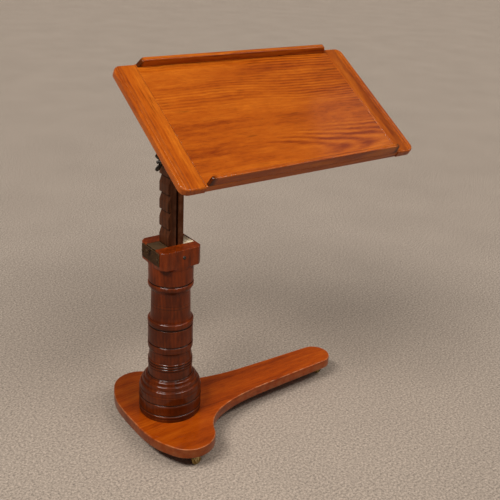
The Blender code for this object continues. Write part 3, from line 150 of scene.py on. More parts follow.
# Outward step at each corner of a flat outline that moves the edges beside it by a and b: along their normals m
# and n it is ((a - c b) m + (b - c a) n) / (1 - c^2), c = m.n, and where a = b that is a (m + n) / (1 + c)
def outwardOf(outline, share):
    edge = np.roll(outline, -1, 0) - outline
    edge /= np.linalg.norm(edge, axis=1)[:, None]
    n = np.stack([edge[:, 1], -edge[:, 0]], 1)
    m = np.roll(n, 1, 0)
    b = np.broadcast_to(share, len(outline)).astype(float)[:, None]
    a = np.roll(b, 1, 0)
    c = (m * n).sum(1)[:, None]
    apart = ((a - c * b) * m + (b - c * a) * n) / np.maximum(1 - c * c, 1e-9)
    return np.where(np.abs(a - b) < 1e-9, a * (m + n) / (1 + c), apart)


# A flat outline as a slab. Ring j is the outline drawn in by inset j at level j; each arris is a quarter circle,
# inset = r (1 - sin a) and level = face + r (1 - cos a). Corners given a cut are eased, less as the rings draw in,
# and share is how much of the inset each edge takes
support = 0.0007                # a last ring this far inside an arris keeps the face beside it flat


def slab(outline, low, high, arris, axis="z", place=worldPlace, cut=None, share=1.0, steps=6):
    outline = np.asarray(outline, float)
    angle = quarter(steps)
    lowRound, highRound = arris
    inset = np.r_[lowRound + support, lowRound * (1 - np.sin(angle)),
                  (highRound * (1 - np.sin(angle)))[::-1], highRound + support]
    level = np.r_[low, low + lowRound * (1 - np.cos(angle)),
                  (high - highRound * (1 - np.cos(angle)))[::-1], high]
    flat = outline[None] - inset[:, None, None] * outwardOf(outline, share)[None]
    if cut is not None:
        least = 0.00004
        flat = np.stack([easeCorners(ring, np.maximum(cut - drawn, least)) for ring, drawn in zip(flat, inset)])
    return skin(standing(flat[..., 0], flat[..., 1], level[:, None], axis), place)


# Pairs of radius and height go round an axis: point = centre + radius (cos a, sin a), at that height
def turned(profile, centre=(0, 0), axis="z", sides=48, place=worldPlace, ring=False):
    radius, height = np.asarray(profile, float).T
    angle = 2 * np.pi * (np.arange(sides) + 0.5) / sides
    first = centre[0] + radius[:, None] * np.cos(angle)
    second = centre[1] + radius[:, None] * np.sin(angle)
    points = standing(first, second, height[:, None], axis)
    if ring:                    # the profile is a loop, so the last ring is the first again
        points = np.concatenate([points, points[:1]])
    return skin(points, place, ends=not ring)


def rectangle(x0, y0, x1, y1):
    return np.array([(x0, y0), (x1, y0), (x1, y1), (x0, y1)], float)


# Half a profile, from the face at its low end inwards, then its mirror image at the high end
def bothEnds(half, low, high):
    half = np.asarray(half, float)
    return np.concatenate([half + (0, low), half[::-1] * (1, -1) + (0, high)])


def prism(outline, ends, axis, place=worldPlace):  # a flat outline carried straight from one end to the other
    first, second = np.asarray(outline, float).T
    return skin(standing(first, second, np.reshape(ends, (2, 1)), axis), place)


def placed(name, data):
    thing = bpy.data.objects.new(name, data)
    scene.collection.objects.link(thing)
    return thing


# The mesh that is left when a modifier has run; a mesh among its settings is a tool
def worked(mesh, kind, **settings):
    blank = placed("blank", mesh)
    spare = [blank]
    modifier = blank.modifiers.new(kind.lower(), kind)
    for key, value in settings.items():
        if isinstance(value, bpy.types.Mesh):
            value = placed("tool", value)
            spare.append(value)
        setattr(modifier, key, value)
    result = bpy.data.meshes.new_from_object(blank.evaluated_get(bpy.context.evaluated_depsgraph_get()))
    for thing in spare:
        bpy.data.objects.remove(thing)
    result.materials.clear()
    return result


def carved(mesh, *tools, how="DIFFERENCE"):
    for tool in tools:
        mesh = worked(mesh, "BOOLEAN", operation=how, solver="EXACT", object=tool)
    return welded(mesh)


def softened(mesh, width, limit=40):  # arrises rounded, where two faces meet at more than the limit in degrees
    return worked(mesh, "BEVEL", width=width, segments=2, limit_method="ANGLE", angle_limit=np.radians(limit),
                  harden_normals=False, use_clamp_overlap=True)


# How sharply the surface bends at each vertex: the mean, over its edges, of how far the edge's far end falls below
# the vertex's own level, over the length squared. Outer arrises are worn by it; inner corners get dirt and painted
# shade.
def markWearAndShade(mesh, scale):
    points = readAll(mesh.vertices, "co", 3).astype(float)
    normals = readAll(mesh.vertex_normals, "vector", 3)
    a, b = readAll(mesh.edges, "vertices", 2, np.int32).T
    step = points[b] - points[a]
    square = np.maximum((step ** 2).sum(1), 1e-10)
    bend, count = np.zeros(len(points)), np.zeros(len(points))
    sharpest = 3000.0           # per metre
    for here, sign in ((a, -1), (b, 1)):
        np.add.at(bend, here, np.clip(sign * (step * normals[here]).sum(1) / square, -sharpest, sharpest))
        np.add.at(count, here, 1)
    bend = bend / np.maximum(count, 1) * scale
    # worn marks outer arrises; grime marks inner corners, as dirt and painted shade
    for name, value in (("worn", np.clip(bend, 0, 1)), ("grime", np.clip(-bend, 0, 1))):
        layer = mesh.attributes.get(name) or mesh.attributes.new(name, "FLOAT", "POINT")
        layer.data.foreach_set("value", value.astype(np.float32))


# A finished mesh stands for a solid: it takes its body, its material slot and, in one word, its name
def show(mesh, finish, node, name=None, wear=0.0012):
    mesh.shade_smooth()
    mesh.set_sharp_from_angle(angle=np.radians(38))
    markWearAndShade(mesh, wear)
    mesh.materials.append(finish)
    first, *rest = node.split("_")
    mesh.name = name or first + "".join(word.title() for word in rest)
    piece = placed(mesh.name, mesh)
    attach(piece, nodes[node]["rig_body"])
    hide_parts(node)


def showSoft(node, finish, width):  # a solid's own shape, with its arrises rounded
    mesh = nodes[node].data.copy()
    shape = bmesh.new()
    shape.from_mesh(mesh)
    bmesh.ops.remove_doubles(shape, verts=shape.verts, dist=2e-6)
    bmesh.ops.dissolve_limit(shape, angle_limit=np.radians(2), verts=shape.verts, edges=shape.edges)
    shape.to_mesh(mesh)
    shape.free()
    show(softened(mesh, width), finish, node)


# Materials

class Wiring:  # a material's nodes, added one by one
    def __init__(self, name):
        self.material = bpy.data.materials.new(name)
        self.material.use_nodes = True
        self.tree = self.material.node_tree
        self.tree.nodes.clear()
        self.output = self.tree.nodes.new("ShaderNodeOutputMaterial")

    def add(self, kind, sockets=None, **settings):
        node = self.tree.nodes.new("ShaderNode" + kind)
        for key, value in settings.items():
            setattr(node, key, value)
        for key, value in (sockets or {}).items():
            if isinstance(value, bpy.types.NodeSocket):
                self.tree.links.new(value, node.inputs[key])
            else:
                node.inputs[key].default_value = value
        return node

    def stretched(self, vector, scale, shift=(0, 0, 0), turn=(0, 0, 0)):
        return self.add("Mapping", {"Vector": vector, "Scale": scale, "Location": shift,
                                    "Rotation": turn}).outputs[0]

    def noise(self, vector, detail=2.0, rough=0.5, twist=0.0, output="Fac"):
        return self.add("TexNoise", {"Vector": vector, "Scale": 1.0, "Detail": detail, "Roughness": rough,
                                     "Distortion": twist}).outputs[output]

    def part(self, vector, axis):
        return self.add("SeparateXYZ", {"Vector": vector}).outputs[axis]

    def between(self, value, low, high, start=0.0, end=1.0):
        return self.add("MapRange", {"Value": value, "From Min": low, "From Max": high, "To Min": start,
                                     "To Max": end}).outputs[0]

    def sum(self, *terms):  # each term is (value, weight)
        total = 0.0
        for value, weight in terms:
            total = self.add("Math", {0: value, 1: weight, 2: total}, operation="MULTIPLY_ADD").outputs[0]
        return total

    def times(self, value, *factors):
        for factor in factors:
            value = self.add("Math", {0: value, 1: factor}, operation="MULTIPLY").outputs[0]
        return value

    def blend(self, share, first, tint):
        return self.add("Mix", {0: share, 6: first, 7: (*tint, 1)}, data_type="RGBA").outputs[2]

    def scaled(self, colour, factor):
        return self.add("VectorMath", {0: colour, "Scale": factor}, operation="SCALE").outputs[0]

    def ramp(self, value, *colours):  # the colours are spread evenly
        node = self.add("ValToRGB", {"Fac": value})
        elements = node.color_ramp.elements
        while len(elements) < len(colours):
            elements.new(0.5)
        for n, colour in enumerate(colours):
            elements[n].position = n / (len(colours) - 1)
            elements[n].color = (*colour, 1)
        return node.outputs["Color"]

    def layer(self, name):
        return self.add("Attribute", attribute_name=name).outputs["Fac"]

    def finish(self, colour, roughness, height, lift, strength, constants):
        normal = self.add("Bump", {"Height": height, "Distance": lift, "Strength": strength}).outputs[0]
        shader = self.add("BsdfPrincipled", {"Base Color": colour, "Roughness": roughness, "Normal": normal,
                                             **constants})
        self.tree.links.new(shader.outputs[0], self.output.inputs["Surface"])
        return self.material


grainTurn = {"x": (0, 0, 0), "y": (0, 0, -np.pi / 2), "z": (0, np.pi / 2, 0)}
# Each noise's scale along and across the grain, detail and roughness; then its shift, and the span that counts
figure = {
    "sway": (3.2, 7, 3.0, 0.45), "patch": (1.6, 9, 2.0, 0.5), "drift": (2.2, 14, 4.0, 0.55),
    "streak": (2.0, 46, 5.0, 0.62), "fibre": (16, 420, 3.0, 0.6), "fleck": (30, 95, 4.0, 0.62),
    "pores": (55, 1300, 1.0, 0.5), "knots": (9, 26, 2.0, 0.5), "threads": (11, 260, 2.0, 0.6),
    "rubbed": (55, 55, 4.0, 0.65), "smear": (20, 20, 5.0, 0.65),
}
figureShift = {"patch": (5.1, 2.3, 0), "knots": (1.7, 0.3, 0), "threads": (3.7, 1.3, 0)}
figureSpan = {"patch": (0.42, 0.66), "pores": (0.58, 0.72), "knots": (0.56, 0.7), "threads": (0.56, 0.7),
              "rubbed": (0.36, 0.66)}
# The weight of two noises; pores, and wax with painted shade, beside the wood's dark tone; how much of the wood
# the ends' dirt hides
woodShare = {"drift": 0.6, "fleck": 0.26, "poreDark": 0.28, "waxAndShadeDark": 0.16, "soiled": 0.9}


# Varnished wood. Rings round a log's axis that leans a little to the board, bent by a slow drift, with streaks and
# fibres along the grain, short dark pores and a few dark wisps. Worn arrises show lighter wood, which on the board
# and the plank is also a painted highlight; corners hold wax and painted shade.
def wood(name, look):
    w = Wiring(name)
    place = look.get("place", worldPlace)
    spot = w.add("Mapping", {"Vector": w.add("TexCoord").outputs["Object"], "Location": tuple(place["origin"]),
                             "Rotation": (place["angle"], 0, 0)}, vector_type="TEXTURE").outputs[0]
    grain = w.stretched(spot, (1, 1, 1), look.get("shift", (0, 0, 0)), grainTurn[look["grain"]])

    def noise(kind, vector, twist=0.0, output="Fac"):
        along, across, detail, rough = figure[kind]
        shifted = w.stretched(vector, (along, across, across), figureShift.get(kind, (0, 0, 0)))
        value = w.noise(shifted, detail, rough, twist, output)
        return w.between(value, *figureSpan[kind]) if kind in figureSpan else value

    bent = w.add("VectorMath", {0: noise("sway", grain, output="Color"), 1: (0.0, look["sway"], look["sway"]),
                                2: grain}, operation="MULTIPLY_ADD").outputs[0]
    log = w.stretched(bent, (1, 1, 1), look["heart"], look["lean"])
    rings = w.add("TexWave", {"Vector": log, "Scale": look["rings"], "Distortion": 1.2, "Detail": 2.0,
                              "Detail Scale": 0.25, "Detail Roughness": 0.5},
                  wave_type="RINGS", rings_direction="X").outputs["Fac"]
    rings = w.times(w.between(rings, 0.0, 1.0, -0.5, 0.5), noise("patch", bent))
    fibre, fleck, pores = noise("fibre", bent), noise("fleck", grain), noise("pores", grain)
    tone = w.sum((rings, look["figure"]), (noise("streak", bent), look["streak"]), (fibre, look["fibre"]),
                 (noise("drift", bent), woodShare["drift"]), (fleck, woodShare["fleck"]))
    colour = w.ramp(w.between(tone, *look["tones"]), look["dark"], look["middle"], look["light"])
    dark = [woodShare["poreDark"] * c for c in look["dark"]]
    waxAndShade = [woodShare["waxAndShadeDark"] * c for c in look["dark"]]
    colour = w.blend(w.times(pores, look["pores"]), colour, dark)
    colour = w.blend(w.times(noise("knots", grain), noise("threads", bent), look["wisps"]), colour, dark)
    # Worn arrises lightened: wear, and on the board and plank a painted highlight too
    colour = w.blend(w.times(w.layer("worn"), noise("rubbed", spot), look["worn"]), colour, look["bare"])
    # Inner corners darkened toward the dark tone: wax and painted shade
    colour = w.blend(w.times(w.layer("grime"), look["grime"]), colour, waxAndShade)
    if "soiled" in look:        # hands have darkened the ends
        centre, clean, black = look["soiled"]
        away = w.add("Math", {0: w.part(spot, 0), 1: centre}, operation="SUBTRACT").outputs[0]
        away = w.add("Math", {0: away}, operation="ABSOLUTE").outputs[0]
        away = w.sum((away, 1.0), (fleck, 0.008))
        colour = w.blend(w.times(w.between(away, clean, black), woodShare["soiled"]), colour, waxAndShade)
    if "bright" in look:        # brighter towards one end
        axis, *span = look["bright"]
        factor = w.between(w.part(spot, axis), *span)
        if "dull" in look:      # darker round one spot, and painted shade on the sides: faces turned away from up are darker
            centre, near, far, share = look["dull"]
            reach = w.add("VectorMath", {0: spot, 1: centre}, operation="DISTANCE").outputs["Value"]
            upright = w.part(w.add("TexCoord").outputs["Normal"], 2)
            factor = w.times(factor, w.between(reach, near, far, share, 1.0),
                             w.between(upright, 0.2, 0.7, look["sides"], 1.0))
        colour = w.scaled(colour, factor)
    smear = noise("smear", spot, twist=0.4)
    roughness = w.between(w.sum((smear, 0.75), (fibre, 0.25)), 0.35, 0.65, *look["rough"])
    height = w.sum((fibre, 0.3), (pores, -0.8), (smear, 0.6))
    return w.finish(colour, roughness, height, 0.00025, look["bump"], {
        "Coat Weight": look["coat"], "Coat Roughness": look["coatRough"], "Coat IOR": 2.2, "IOR": 1.45,
        "Specular IOR Level": look["shine"], "Specular Tint": (*look["tint"], 1)})


# Old metal: three tones in blotches, darker in inner corners, brighter where hands and edges rub it
def metal(name, look):
    w = Wiring(name)
    spot = w.add("TexCoord").outputs["Object"]
    blotch = w.noise(w.stretched(spot, (look["grain"],) * 3), 5.0, 0.65, 0.3)
    speck = w.between(w.noise(w.stretched(spot, (900,) * 3), 2.0), 0.56, 0.7)
    colour = w.ramp(w.between(blotch, 0.3, 0.7), look["dark"], look["middle"], look["light"])
    colour = w.blend(w.times(speck, look["speck"]), colour, look["stain"])
    colour = w.blend(w.times(w.layer("grime"), 0.8), colour, [0.25 * c for c in look["dark"]])
    colour = w.blend(w.times(w.layer("worn"), look["worn"]), colour, look["bright"])
    roughness = w.between(w.sum((blotch, 0.7), (speck, 0.3)), 0.25, 0.65, *look["rough"])
    height = w.sum((blotch, 0.5), (speck, -0.5))
    return w.finish(colour, roughness, height, 0.0002, look["bump"], {
        "Metallic": look["metallic"], "Specular IOR Level": look.get("shine", 0.5)})


mahogany = {
    "grain": "x", "sway": 0.035, "heart": (0, 0.06, -0.1), "lean": (0, 0.075, 0.02), "rings": 36.0,
    "figure": 0.26, "streak": 0.4, "fibre": 0.16, "tones": (0.53, 0.86), "pores": 0.4, "wisps": 0.85,
    "worn": 0.6, "grime": 0.8, "bump": 0.25, "coat": 0.14, "coatRough": 0.1, "rough": (0.28, 0.44),
    "shine": 0.22, "tint": (1.0, 0.42, 0.14),
}
# On the board and the plank the pale bare tone of worn arrises is partly wear and partly a painted highlight along
# the arrises
boardLook = {**mahogany, "place": boardPlace, "dark": (0.19, 0.026, 0.002), "middle": (0.345, 0.066, 0.003),
             "light": (0.46, 0.108, 0.006), "bare": (0.66, 0.32, 0.13)}
# The plank's sides are darkened as painted shade
plankLook = {**mahogany, "dark": (0.175, 0.021, 0.001), "middle": (0.33, 0.048, 0.0015),
             "light": (0.46, 0.088, 0.004), "bare": (0.8, 0.44, 0.2), "worn": 0.95, "streak": 0.52,
             "tones": (0.57, 0.94), "dull": ((-0.31, 0.15, 0.06), 0.06, 0.16, 0.72), "sides": 0.62,
             "bright": (0, -0.28, 0.02, 0.9, 1.22)}
# The column's grime weight is near full: its quirks and the shade under its beads are painted nearly black, partly
# dirt
columnLook = {**mahogany, "grain": "z", "heart": (0.02, 0.3, 0.1), "figure": 0.04, "streak": 0.08, "fibre": 0.03,
              "tones": (0.38, 0.64), "dark": (0.05, 0.0065, 0.0006), "middle": (0.122, 0.0165, 0.0012),
              "light": (0.22, 0.036, 0.003), "bare": (0.3, 0.1, 0.035), "coat": 0.15, "coatRough": 0.12,
              "rough": (0.28, 0.42), "shine": 0.1, "wisps": 0.3, "worn": 0.3, "pores": 0.2, "grime": 0.97,
              "bright": (2, 0.13, 0.47, 0.66, 1.3)}
mastLook = {**mahogany, "grain": "z", "heart": (0.1, 0.32, 0.2), "figure": 0.1, "dark": (0.022, 0.0065, 0.003),
            "middle": (0.048, 0.0135, 0.0055), "light": (0.085, 0.024, 0.008), "bare": (0.17, 0.07, 0.035),
            "coat": 0.03, "coatRough": 0.25, "rough": (0.4, 0.6)}


# Where a ledge's dirt starts and is full, from its middle, or from its +X end when only the other end is black
def soiledEnds(node, clean, black, both=True):
    low, high = nodeBox(node, boardPlace)
    reach = (high[0] - low[0]) / (2 if both else 1)
    return high[0] - (reach if both else 0), reach - clean, reach - black


boardWood = wood("boardMahogany", boardLook)
# On the cleats grime darkens the quirks: painted shade in the grooves, with some dirt
leftCleatWood = wood("leftCleatMahogany", {
    **boardLook, "figure": 0.1, "grime": 0.9, "grain": "y", "shift": (0.7, 0.21, 0.03)})
rightCleatWood = wood("rightCleatMahogany", {
    **boardLook, "figure": 0.06, "grime": 0.6, "grain": "y", "shift": (0.2, 0.46, 0.11)})
frontLedgeWood = wood("frontLedgeMahogany", {
    **boardLook, "shift": (0.31, 0.35, 0.13), "soiled": soiledEnds("ledge_front", 0.016, 0.004)})
backLedgeWood = wood("backLedgeMahogany", {
    **boardLook, "shift": (0.9, 0.12, 0.31), "soiled": soiledEnds("ledge_back", 0.011, 0.003, False)})
plankWood = wood("plankMahogany", plankLook)
bearerWood = wood("bearerMahogany", {**plankLook, "place": boardPlace, "shift": (0.4, 0.3, 0.2)})
columnWood = wood("columnMahogany", columnLook)
mastWood = wood("mastMahogany", mastLook)
tongueWood = wood("tongueMahogany", {**mastLook, "place": boardPlace})
packingWood = wood("packingBeech", {
    **mahogany, "grain": "y", "dark": (0.62, 0.47, 0.27), "middle": (0.84, 0.7, 0.46),
    "light": (0.92, 0.82, 0.6), "bare": (0.92, 0.84, 0.66), "coat": 0.0, "rough": (0.55, 0.75)})
bronze = metal("tarnishedBronze", {
    "grain": 140, "dark": (0.016, 0.006, 0.002), "middle": (0.034, 0.015, 0.005), "light": (0.06, 0.028, 0.009),
    "speck": 0.5, "stain": (0.11, 0.035, 0.01), "bright": (0.3, 0.2, 0.1), "worn": 0.22,
    "rough": (0.55, 0.8), "metallic": 0.0, "bump": 0.6, "shine": 0.12})
iron = metal("blackenedIron", {
    "grain": 160, "dark": (0.02, 0.018, 0.015), "middle": (0.045, 0.04, 0.033), "light": (0.085, 0.075, 0.06),
    "speck": 0.5, "stain": (0.085, 0.032, 0.014), "bright": (0.32, 0.3, 0.27), "worn": 0.55,
    "rough": (0.35, 0.62), "metallic": 0.85, "bump": 0.5})
brass = metal("tarnishedBrass", {
    "grain": 130, "dark": (0.07, 0.04, 0.012), "middle": (0.22, 0.14, 0.04), "light": (0.48, 0.33, 0.11),
    "speck": 0.5, "stain": (0.08, 0.05, 0.025), "bright": (0.86, 0.68, 0.32), "worn": 0.7,
    "rough": (0.24, 0.48), "metallic": 1.0, "bump": 0.3})
steel = metal("dullSteel", {
    "grain": 200, "dark": (0.1, 0.095, 0.09), "middle": (0.24, 0.23, 0.22), "light": (0.4, 0.385, 0.37),
    "speck": 0.6, "stain": (0.12, 0.06, 0.03), "bright": (0.7, 0.68, 0.65), "worn": 0.6,
    "rough": (0.3, 0.55), "metallic": 0.95, "bump": 0.3})
print("materials mixed")


# Foot

foot = {
    "heelReach": 0.1145, "spread": 0.1937, "lobeRadius": 0.069, "setback": 0.021,
    "lobeFrom": 150, "lobeTo": 20, "heelHandle": 0.08, "lobeHandle": 0.06,
    "coveHandles": (0.07, 0.15), "armRoot": (0.29, 0.0505), "armReach": 0.494, "tipRadius": 0.044,
    "arrises": (0.0012, 0.0022), "wear": 0.0025,
}


# Cubic curve: (1-t)^3 a + 3t(1-t)^2 b + 3t^2(1-t) c + t^3 d
def cubic(a, b, c, d, steps=28):
    t = np.linspace(0, 1, steps)[:, None]
    a, b, c, d = (np.asarray(p, float) for p in (a, b, c, d))
    return (1 - t) ** 3 * a + 3 * t * (1 - t) ** 2 * b + 3 * t ** 2 * (1 - t) * c + t ** 3 * d


# Circle's part: centre + radius (cos a, sin a)
def arc(centre, radius, start, end, steps=28):
    angle = np.radians(np.linspace(start, end, steps))[:, None]
    return np.asarray(centre) + radius * np.hstack([np.cos(angle), np.sin(angle)])


# Half the plan, from the heel round one lobe and along the cove to the arm's tip, then its mirror image
def footOutline():
    lobe = arc((-foot["setback"], foot["spread"] - foot["lobeRadius"]), foot["lobeRadius"],
               foot["lobeFrom"], foot["lobeTo"], 40)
    lead = np.radians([foot["lobeFrom"], foot["lobeTo"]])
    headIn, headOut = (np.array([np.sin(a), -np.cos(a)]) for a in lead)
    heel = cubic((-foot["heelReach"], 0), (-foot["heelReach"], foot["heelHandle"]),
                 lobe[0] - headIn * foot["lobeHandle"], lobe[0])
    rootX, rootHalf = foot["armRoot"]
    taper = (rootHalf - foot["tipRadius"]) / (foot["armReach"] - rootX)
    near, far = foot["coveHandles"]
    cove = cubic(lobe[-1], lobe[-1] + headOut * near, (rootX - far, rootHalf + taper * far), (rootX, rootHalf), 40)
    tip = arc((foot["armReach"], 0), foot["tipRadius"], 90, 0, 24)
    half = np.concatenate([heel[:-1], lobe[:-1], cove, tip])
    whole = np.concatenate([half, half[-2:0:-1] * (1, -1)])[::-1]
    return whole + (cx, 0)


low, high = nodeBox("base_plank")
plankTop = high[2]
show(slab(footOutline(), low[2], plankTop, foot["arrises"], steps=8), plankWood, "base_plank", wear=foot["wear"])
print("foot made")


# Column

# Rows of height above the plank and radius, in millimetres, with how far the stretch up to the row bulges, if any
column = {
    "drum": [(0.0, 78.4), (1.0, 79.3, 0.2), (7.8, 79.5), (8.8, 78.7), (10.0, 78.7), (11.0, 79.6, 0.1),
             (13.6, 80.2, 0.2), (17.2, 78.4, 0.8), (18.0, 77.9), (19.0, 77.9), (20.2, 79.3, 0.1), (42.6, 80.2),
             (46.2, 80.0, 0.2), (48.4, 78.2, 0.6), (49.4, 77.8), (50.6, 77.8), (51.6, 79.4, 0.1), (68.6, 79.3),
             (71.6, 78.3, 0.4), (72.8, 77.7), (80.4, 76.8, 0.1), (86.0, 71.8, 1.3), (87.2, 70.9), (88.6, 70.3),
             (91.4, 70.2), (92.8, 69.8), (97.4, 65.8, 1.0), (98.4, 65.0), (101.4, 63.6), (106.6, 58.6, 1.0),
             (107.4, 58.0), (110.2, 56.1, 0.6), (111.1, 56.0)],
    "shaft": [(111.4, 56.0), (129.0, 55.8), (132.6, 55.2, 0.1), (134.6, 54.9), (140.8, 54.9, 1.8), (141.6, 54.9),
              (147.9, 54.9, 1.8), (148.7, 54.8), (155.0, 54.7, 1.8), (156.2, 54.5), (166.0, 53.7), (171.0, 53.0),
              (176.0, 52.6), (181.0, 53.0), (182.6, 53.8), (188.6, 56.3, 1.0), (196.8, 56.8, 0.2),
              (201.6, 54.3, 1.0), (202.8, 54.3), (204.2, 56.0, 0.1), (206.4, 56.5, 0.1), (246.4, 56.1),
              (247.8, 55.9, 0.1), (248.6, 54.0), (251.4, 54.0), (253.0, 55.8, 0.1), (257.0, 57.0, 0.3),
              (262.2, 57.1), (268.3, 52.3, 1.4), (269.4, 52.0), (274.4, 50.4, -0.2), (282.0, 49.4, -0.2),
              (303.8, 49.0), (304.9, 48.4), (306.4, 49.0), (311.8, 48.9), (312.9, 48.3), (314.4, 48.8),
              (338.0, 48.2), (345.0, 48.9, -0.1), (351.4, 51.8, -0.5), (353.4, 52.5), (355.0, 53.6, 0.1),
              (358.6, 55.9, 0.6), (362.8, 56.2, 0.1), (368.0, 52.7, 1.1), (369.6, 52.7), (370.8, 54.7, 0.1),
              (372.6, 55.0, 0.1), (411.4, 55.0)],
    "bore": 31.5, "ease": 0.45, "sides": 144, "wear": 0.003, "quirkReach": 3.0, "quirkBlack": 1.4,
}


# A stretch that bulges: start + t (end - start) + 4 b t (1 - t) to its side
def bulgedLine(rows, steps=6):
    rows = np.array([(*row, 0)[:3] for row in rows], float)
    start, end, bulge = rows[:-1, 1::-1], rows[1:, 1::-1], rows[1:, 2]
    run = end - start
    side = np.stack([run[:, 1], -run[:, 0]], 1) / np.linalg.norm(run, axis=1)[:, None]
    t = np.linspace(0, 1, steps + 1)[None, 1:, None]
    curve = start[:, None] + t * run[:, None] + 4 * t * (1 - t) * (bulge[:, None] * side)[:, None]
    straight = np.abs(bulge) < 1e-9
    parts = [c[-1:] if flat else c for c, flat in zip(curve, straight)]
    return np.concatenate([start[:1], *parts])


# Painted shade, with some dirt, in the quirks: how far the surface lies below its profile once valleys narrower
# than twice the reach are filled, which is the least within reach of the greatest radius within reach
def fillQuirks(mesh, line, step=0.2):
    order = np.argsort(line[:, 1])
    level = np.arange(line[:, 1].min(), line[:, 1].max(), step)
    radius = np.interp(level, line[order, 1], line[order, 0])
    half = int(column["quirkReach"] / step)
    windows = np.lib.stride_tricks.sliding_window_view
    highest = windows(np.pad(radius, half, mode="edge"), 2 * half + 1).max(1)
    filled = windows(np.pad(highest, half, mode="edge"), 2 * half + 1).min(1)
    points = (readAll(mesh.vertices, "co", 3).astype(float) - (cx, 0, plankTop)) * 1000
    here = np.hypot(points[:, 0], points[:, 1])
    depth = np.interp(points[:, 2], level, filled) - here
    outside = here > column["bore"] + 5
    # The quirks are painted dark as the shade under the beads, partly dirt
    black = np.clip(depth / column["quirkBlack"], 0, 1) * outside
    layer = mesh.attributes["grime"].data
    cornerDark = readAll(layer, "value", 1)[:, 0]
    layer.foreach_set("value", np.maximum(cornerDark, black).astype(np.float32))


for part in ("drum", "shaft"):
    line = easeCorners(bulgedLine(column[part]), column["ease"], looped=False, steps=3)
    loop = np.concatenate([line, [(column["bore"], line[-1, 1]), (column["bore"], line[0, 1])]])
    loop = loop / 1000 + (0, plankTop + stand["gap"])
    mesh = turned(loop, (cx, 0), sides=column["sides"], ring=True)
    show(mesh, columnWood, "column_" + part, wear=column["wear"])
    fillQuirks(mesh, line)

head = {
    "flat": 0.055, "chamfer": 0.011, "crisp": 110, "slope": 0.0075, "topRound": 0.0018, "sides": 256,
    "mortise": 0.0215, "ease": 0.0006, "hollow": 1.6,   # the slope's power of the way up
    "packingArris": (0.0004, 0.0006), "packingCorner": 0.0006,
}


# Eight sides at distances d: 1 / radius^p is the sum over the sides of (cos of the angle to that side / d)^p
def headRadius(angle, flat):
    distance = np.where(np.arange(8) % 2 == 0, flat, (2 * flat - head["chamfer"]) / np.sqrt(2))
    facing = np.cos(angle[:, None] - np.arange(8) * np.pi / 4).clip(0.01)
    return ((facing / distance) ** head["crisp"]).sum(1) ** (-1 / head["crisp"])


# Rings from the round foot up a hollow slope to the chamfered square, then a rounded top arris
def headBlock():
    low, high = nodeBox("column_head")
    angle = 2 * np.pi * np.arange(head["sides"]) / head["sides"]
    square = headRadius(angle, head["flat"])
    t, turn, r = np.linspace(0, 1, 9), quarter(6), head["topRound"]
    rise = np.r_[low[2] + head["slope"] * t, high[2] - r + r * np.sin(turn), high[2]]
    slope = [head["flat"] * (1 - s) + square * s for s in t ** head["hollow"]]
    top = [headRadius(angle, head["flat"] - inset) for inset in (*(r * (1 - np.cos(turn))), r + support)]
    radius = np.array(slope + top)
    return skin(standing(cx + radius * np.cos(angle), radius * np.sin(angle), rise[:, None], "z"))


low, high = nodeBox("column_head")
packLow, packHigh = nodeBox("packing_block")
m = head["mortise"]
floor = packLow[2] - stand["gap"]
slotEnd = packHigh[0] + stand["gap"]
below, above, beyond = low[2] - 0.01, high[2] + 0.01, low[0] - 0.01
slot = [(cx - m, below), (cx + m, below), (cx + m, floor), (slotEnd, floor), (slotEnd, above), (beyond, above),
        (beyond, floor), (cx - m, floor)]
show(softened(carved(headBlock(), prism(slot, (-m, m), "y")), head["ease"], 50), columnWood, "column_head")
show(slab(rectangle(*packLow[:2], *packHigh[:2]), packLow[2], packHigh[2], head["packingArris"],
          cut=head["packingCorner"]), packingWood, "packing_block")
print("column made")


# Mast

mast = {
    "half": 0.021, "pitch": 0.0425, "depth": 0.007, "slope": 0.02, "firstLedge": 0.5347, "teeth": (-4, 4),
    "worn": 0.0014, "arris": 0.0009, "ease": 0.0006, "domeGap": 0.0002,
    "groove": (0.0037, 0.0066, 0.007, 0.174),   # how far off centre, width, depth and half its length
    "slot": (0.0075, 0.021),                    # half its width, and how far it goes down below the tilt bolt
}


# Straight on +X; on -X, from the top down, each tooth has a level ledge and a slope back out to the face
def mastOutline(bottom, top):
    h = mast["half"]
    count = np.arange(mast["teeth"][1], mast["teeth"][0] - 1, -1)
    ledge = mast["firstLedge"] + count * mast["pitch"]
    rows = [(cx - h, ledge), (cx - h + mast["depth"], ledge), (cx - h, ledge - mast["slope"])]
    side = np.stack([np.stack([np.full(len(ledge), x), z], 1) for x, z in rows], 1).reshape(-1, 2)
    return np.concatenate([[(cx - h, bottom), (cx + h, bottom), (cx + h, top), (cx - h, top)], side])


low, high = nodeBox("mast")
h, beyond = mast["half"], 0.03
mesh = slab(mastOutline(low[2], high[2]), low[1], high[1], (mast["arris"],) * 2, "y", cut=mast["worn"])
dome = arc((0, pivot), h - mast["domeGap"], 180, 0, 40)
brow, over = pivot + 0.0001, pivot + 0.05
crown = np.concatenate([[(-beyond, brow)], dome, [(beyond, brow), (beyond, over), (-beyond, over)]])
halfSlot, below = mast["slot"]
offset, width, depth, reach = mast["groove"]
guideLow, guideHigh = nodeBox("guide_screw")
middle = (guideLow[2] + guideHigh[2]) / 2
tongueSlot = rectangle(cx - halfSlot, -beyond, cx + halfSlot, beyond)
groove = rectangle(cx + offset - width / 2, -beyond, cx + offset + width / 2, depth - h)
mesh = carved(mesh, prism(crown, (cx - beyond, cx + beyond), "x"),
              prism(tongueSlot, (pivot - below, pivot + beyond), "z"),
              prism(groove, (middle - reach, middle + reach), "z"))
show(softened(mesh, mast["ease"], 45), mastWood, "mast", name="mastPost")
print("mast made")


# Tilt joint

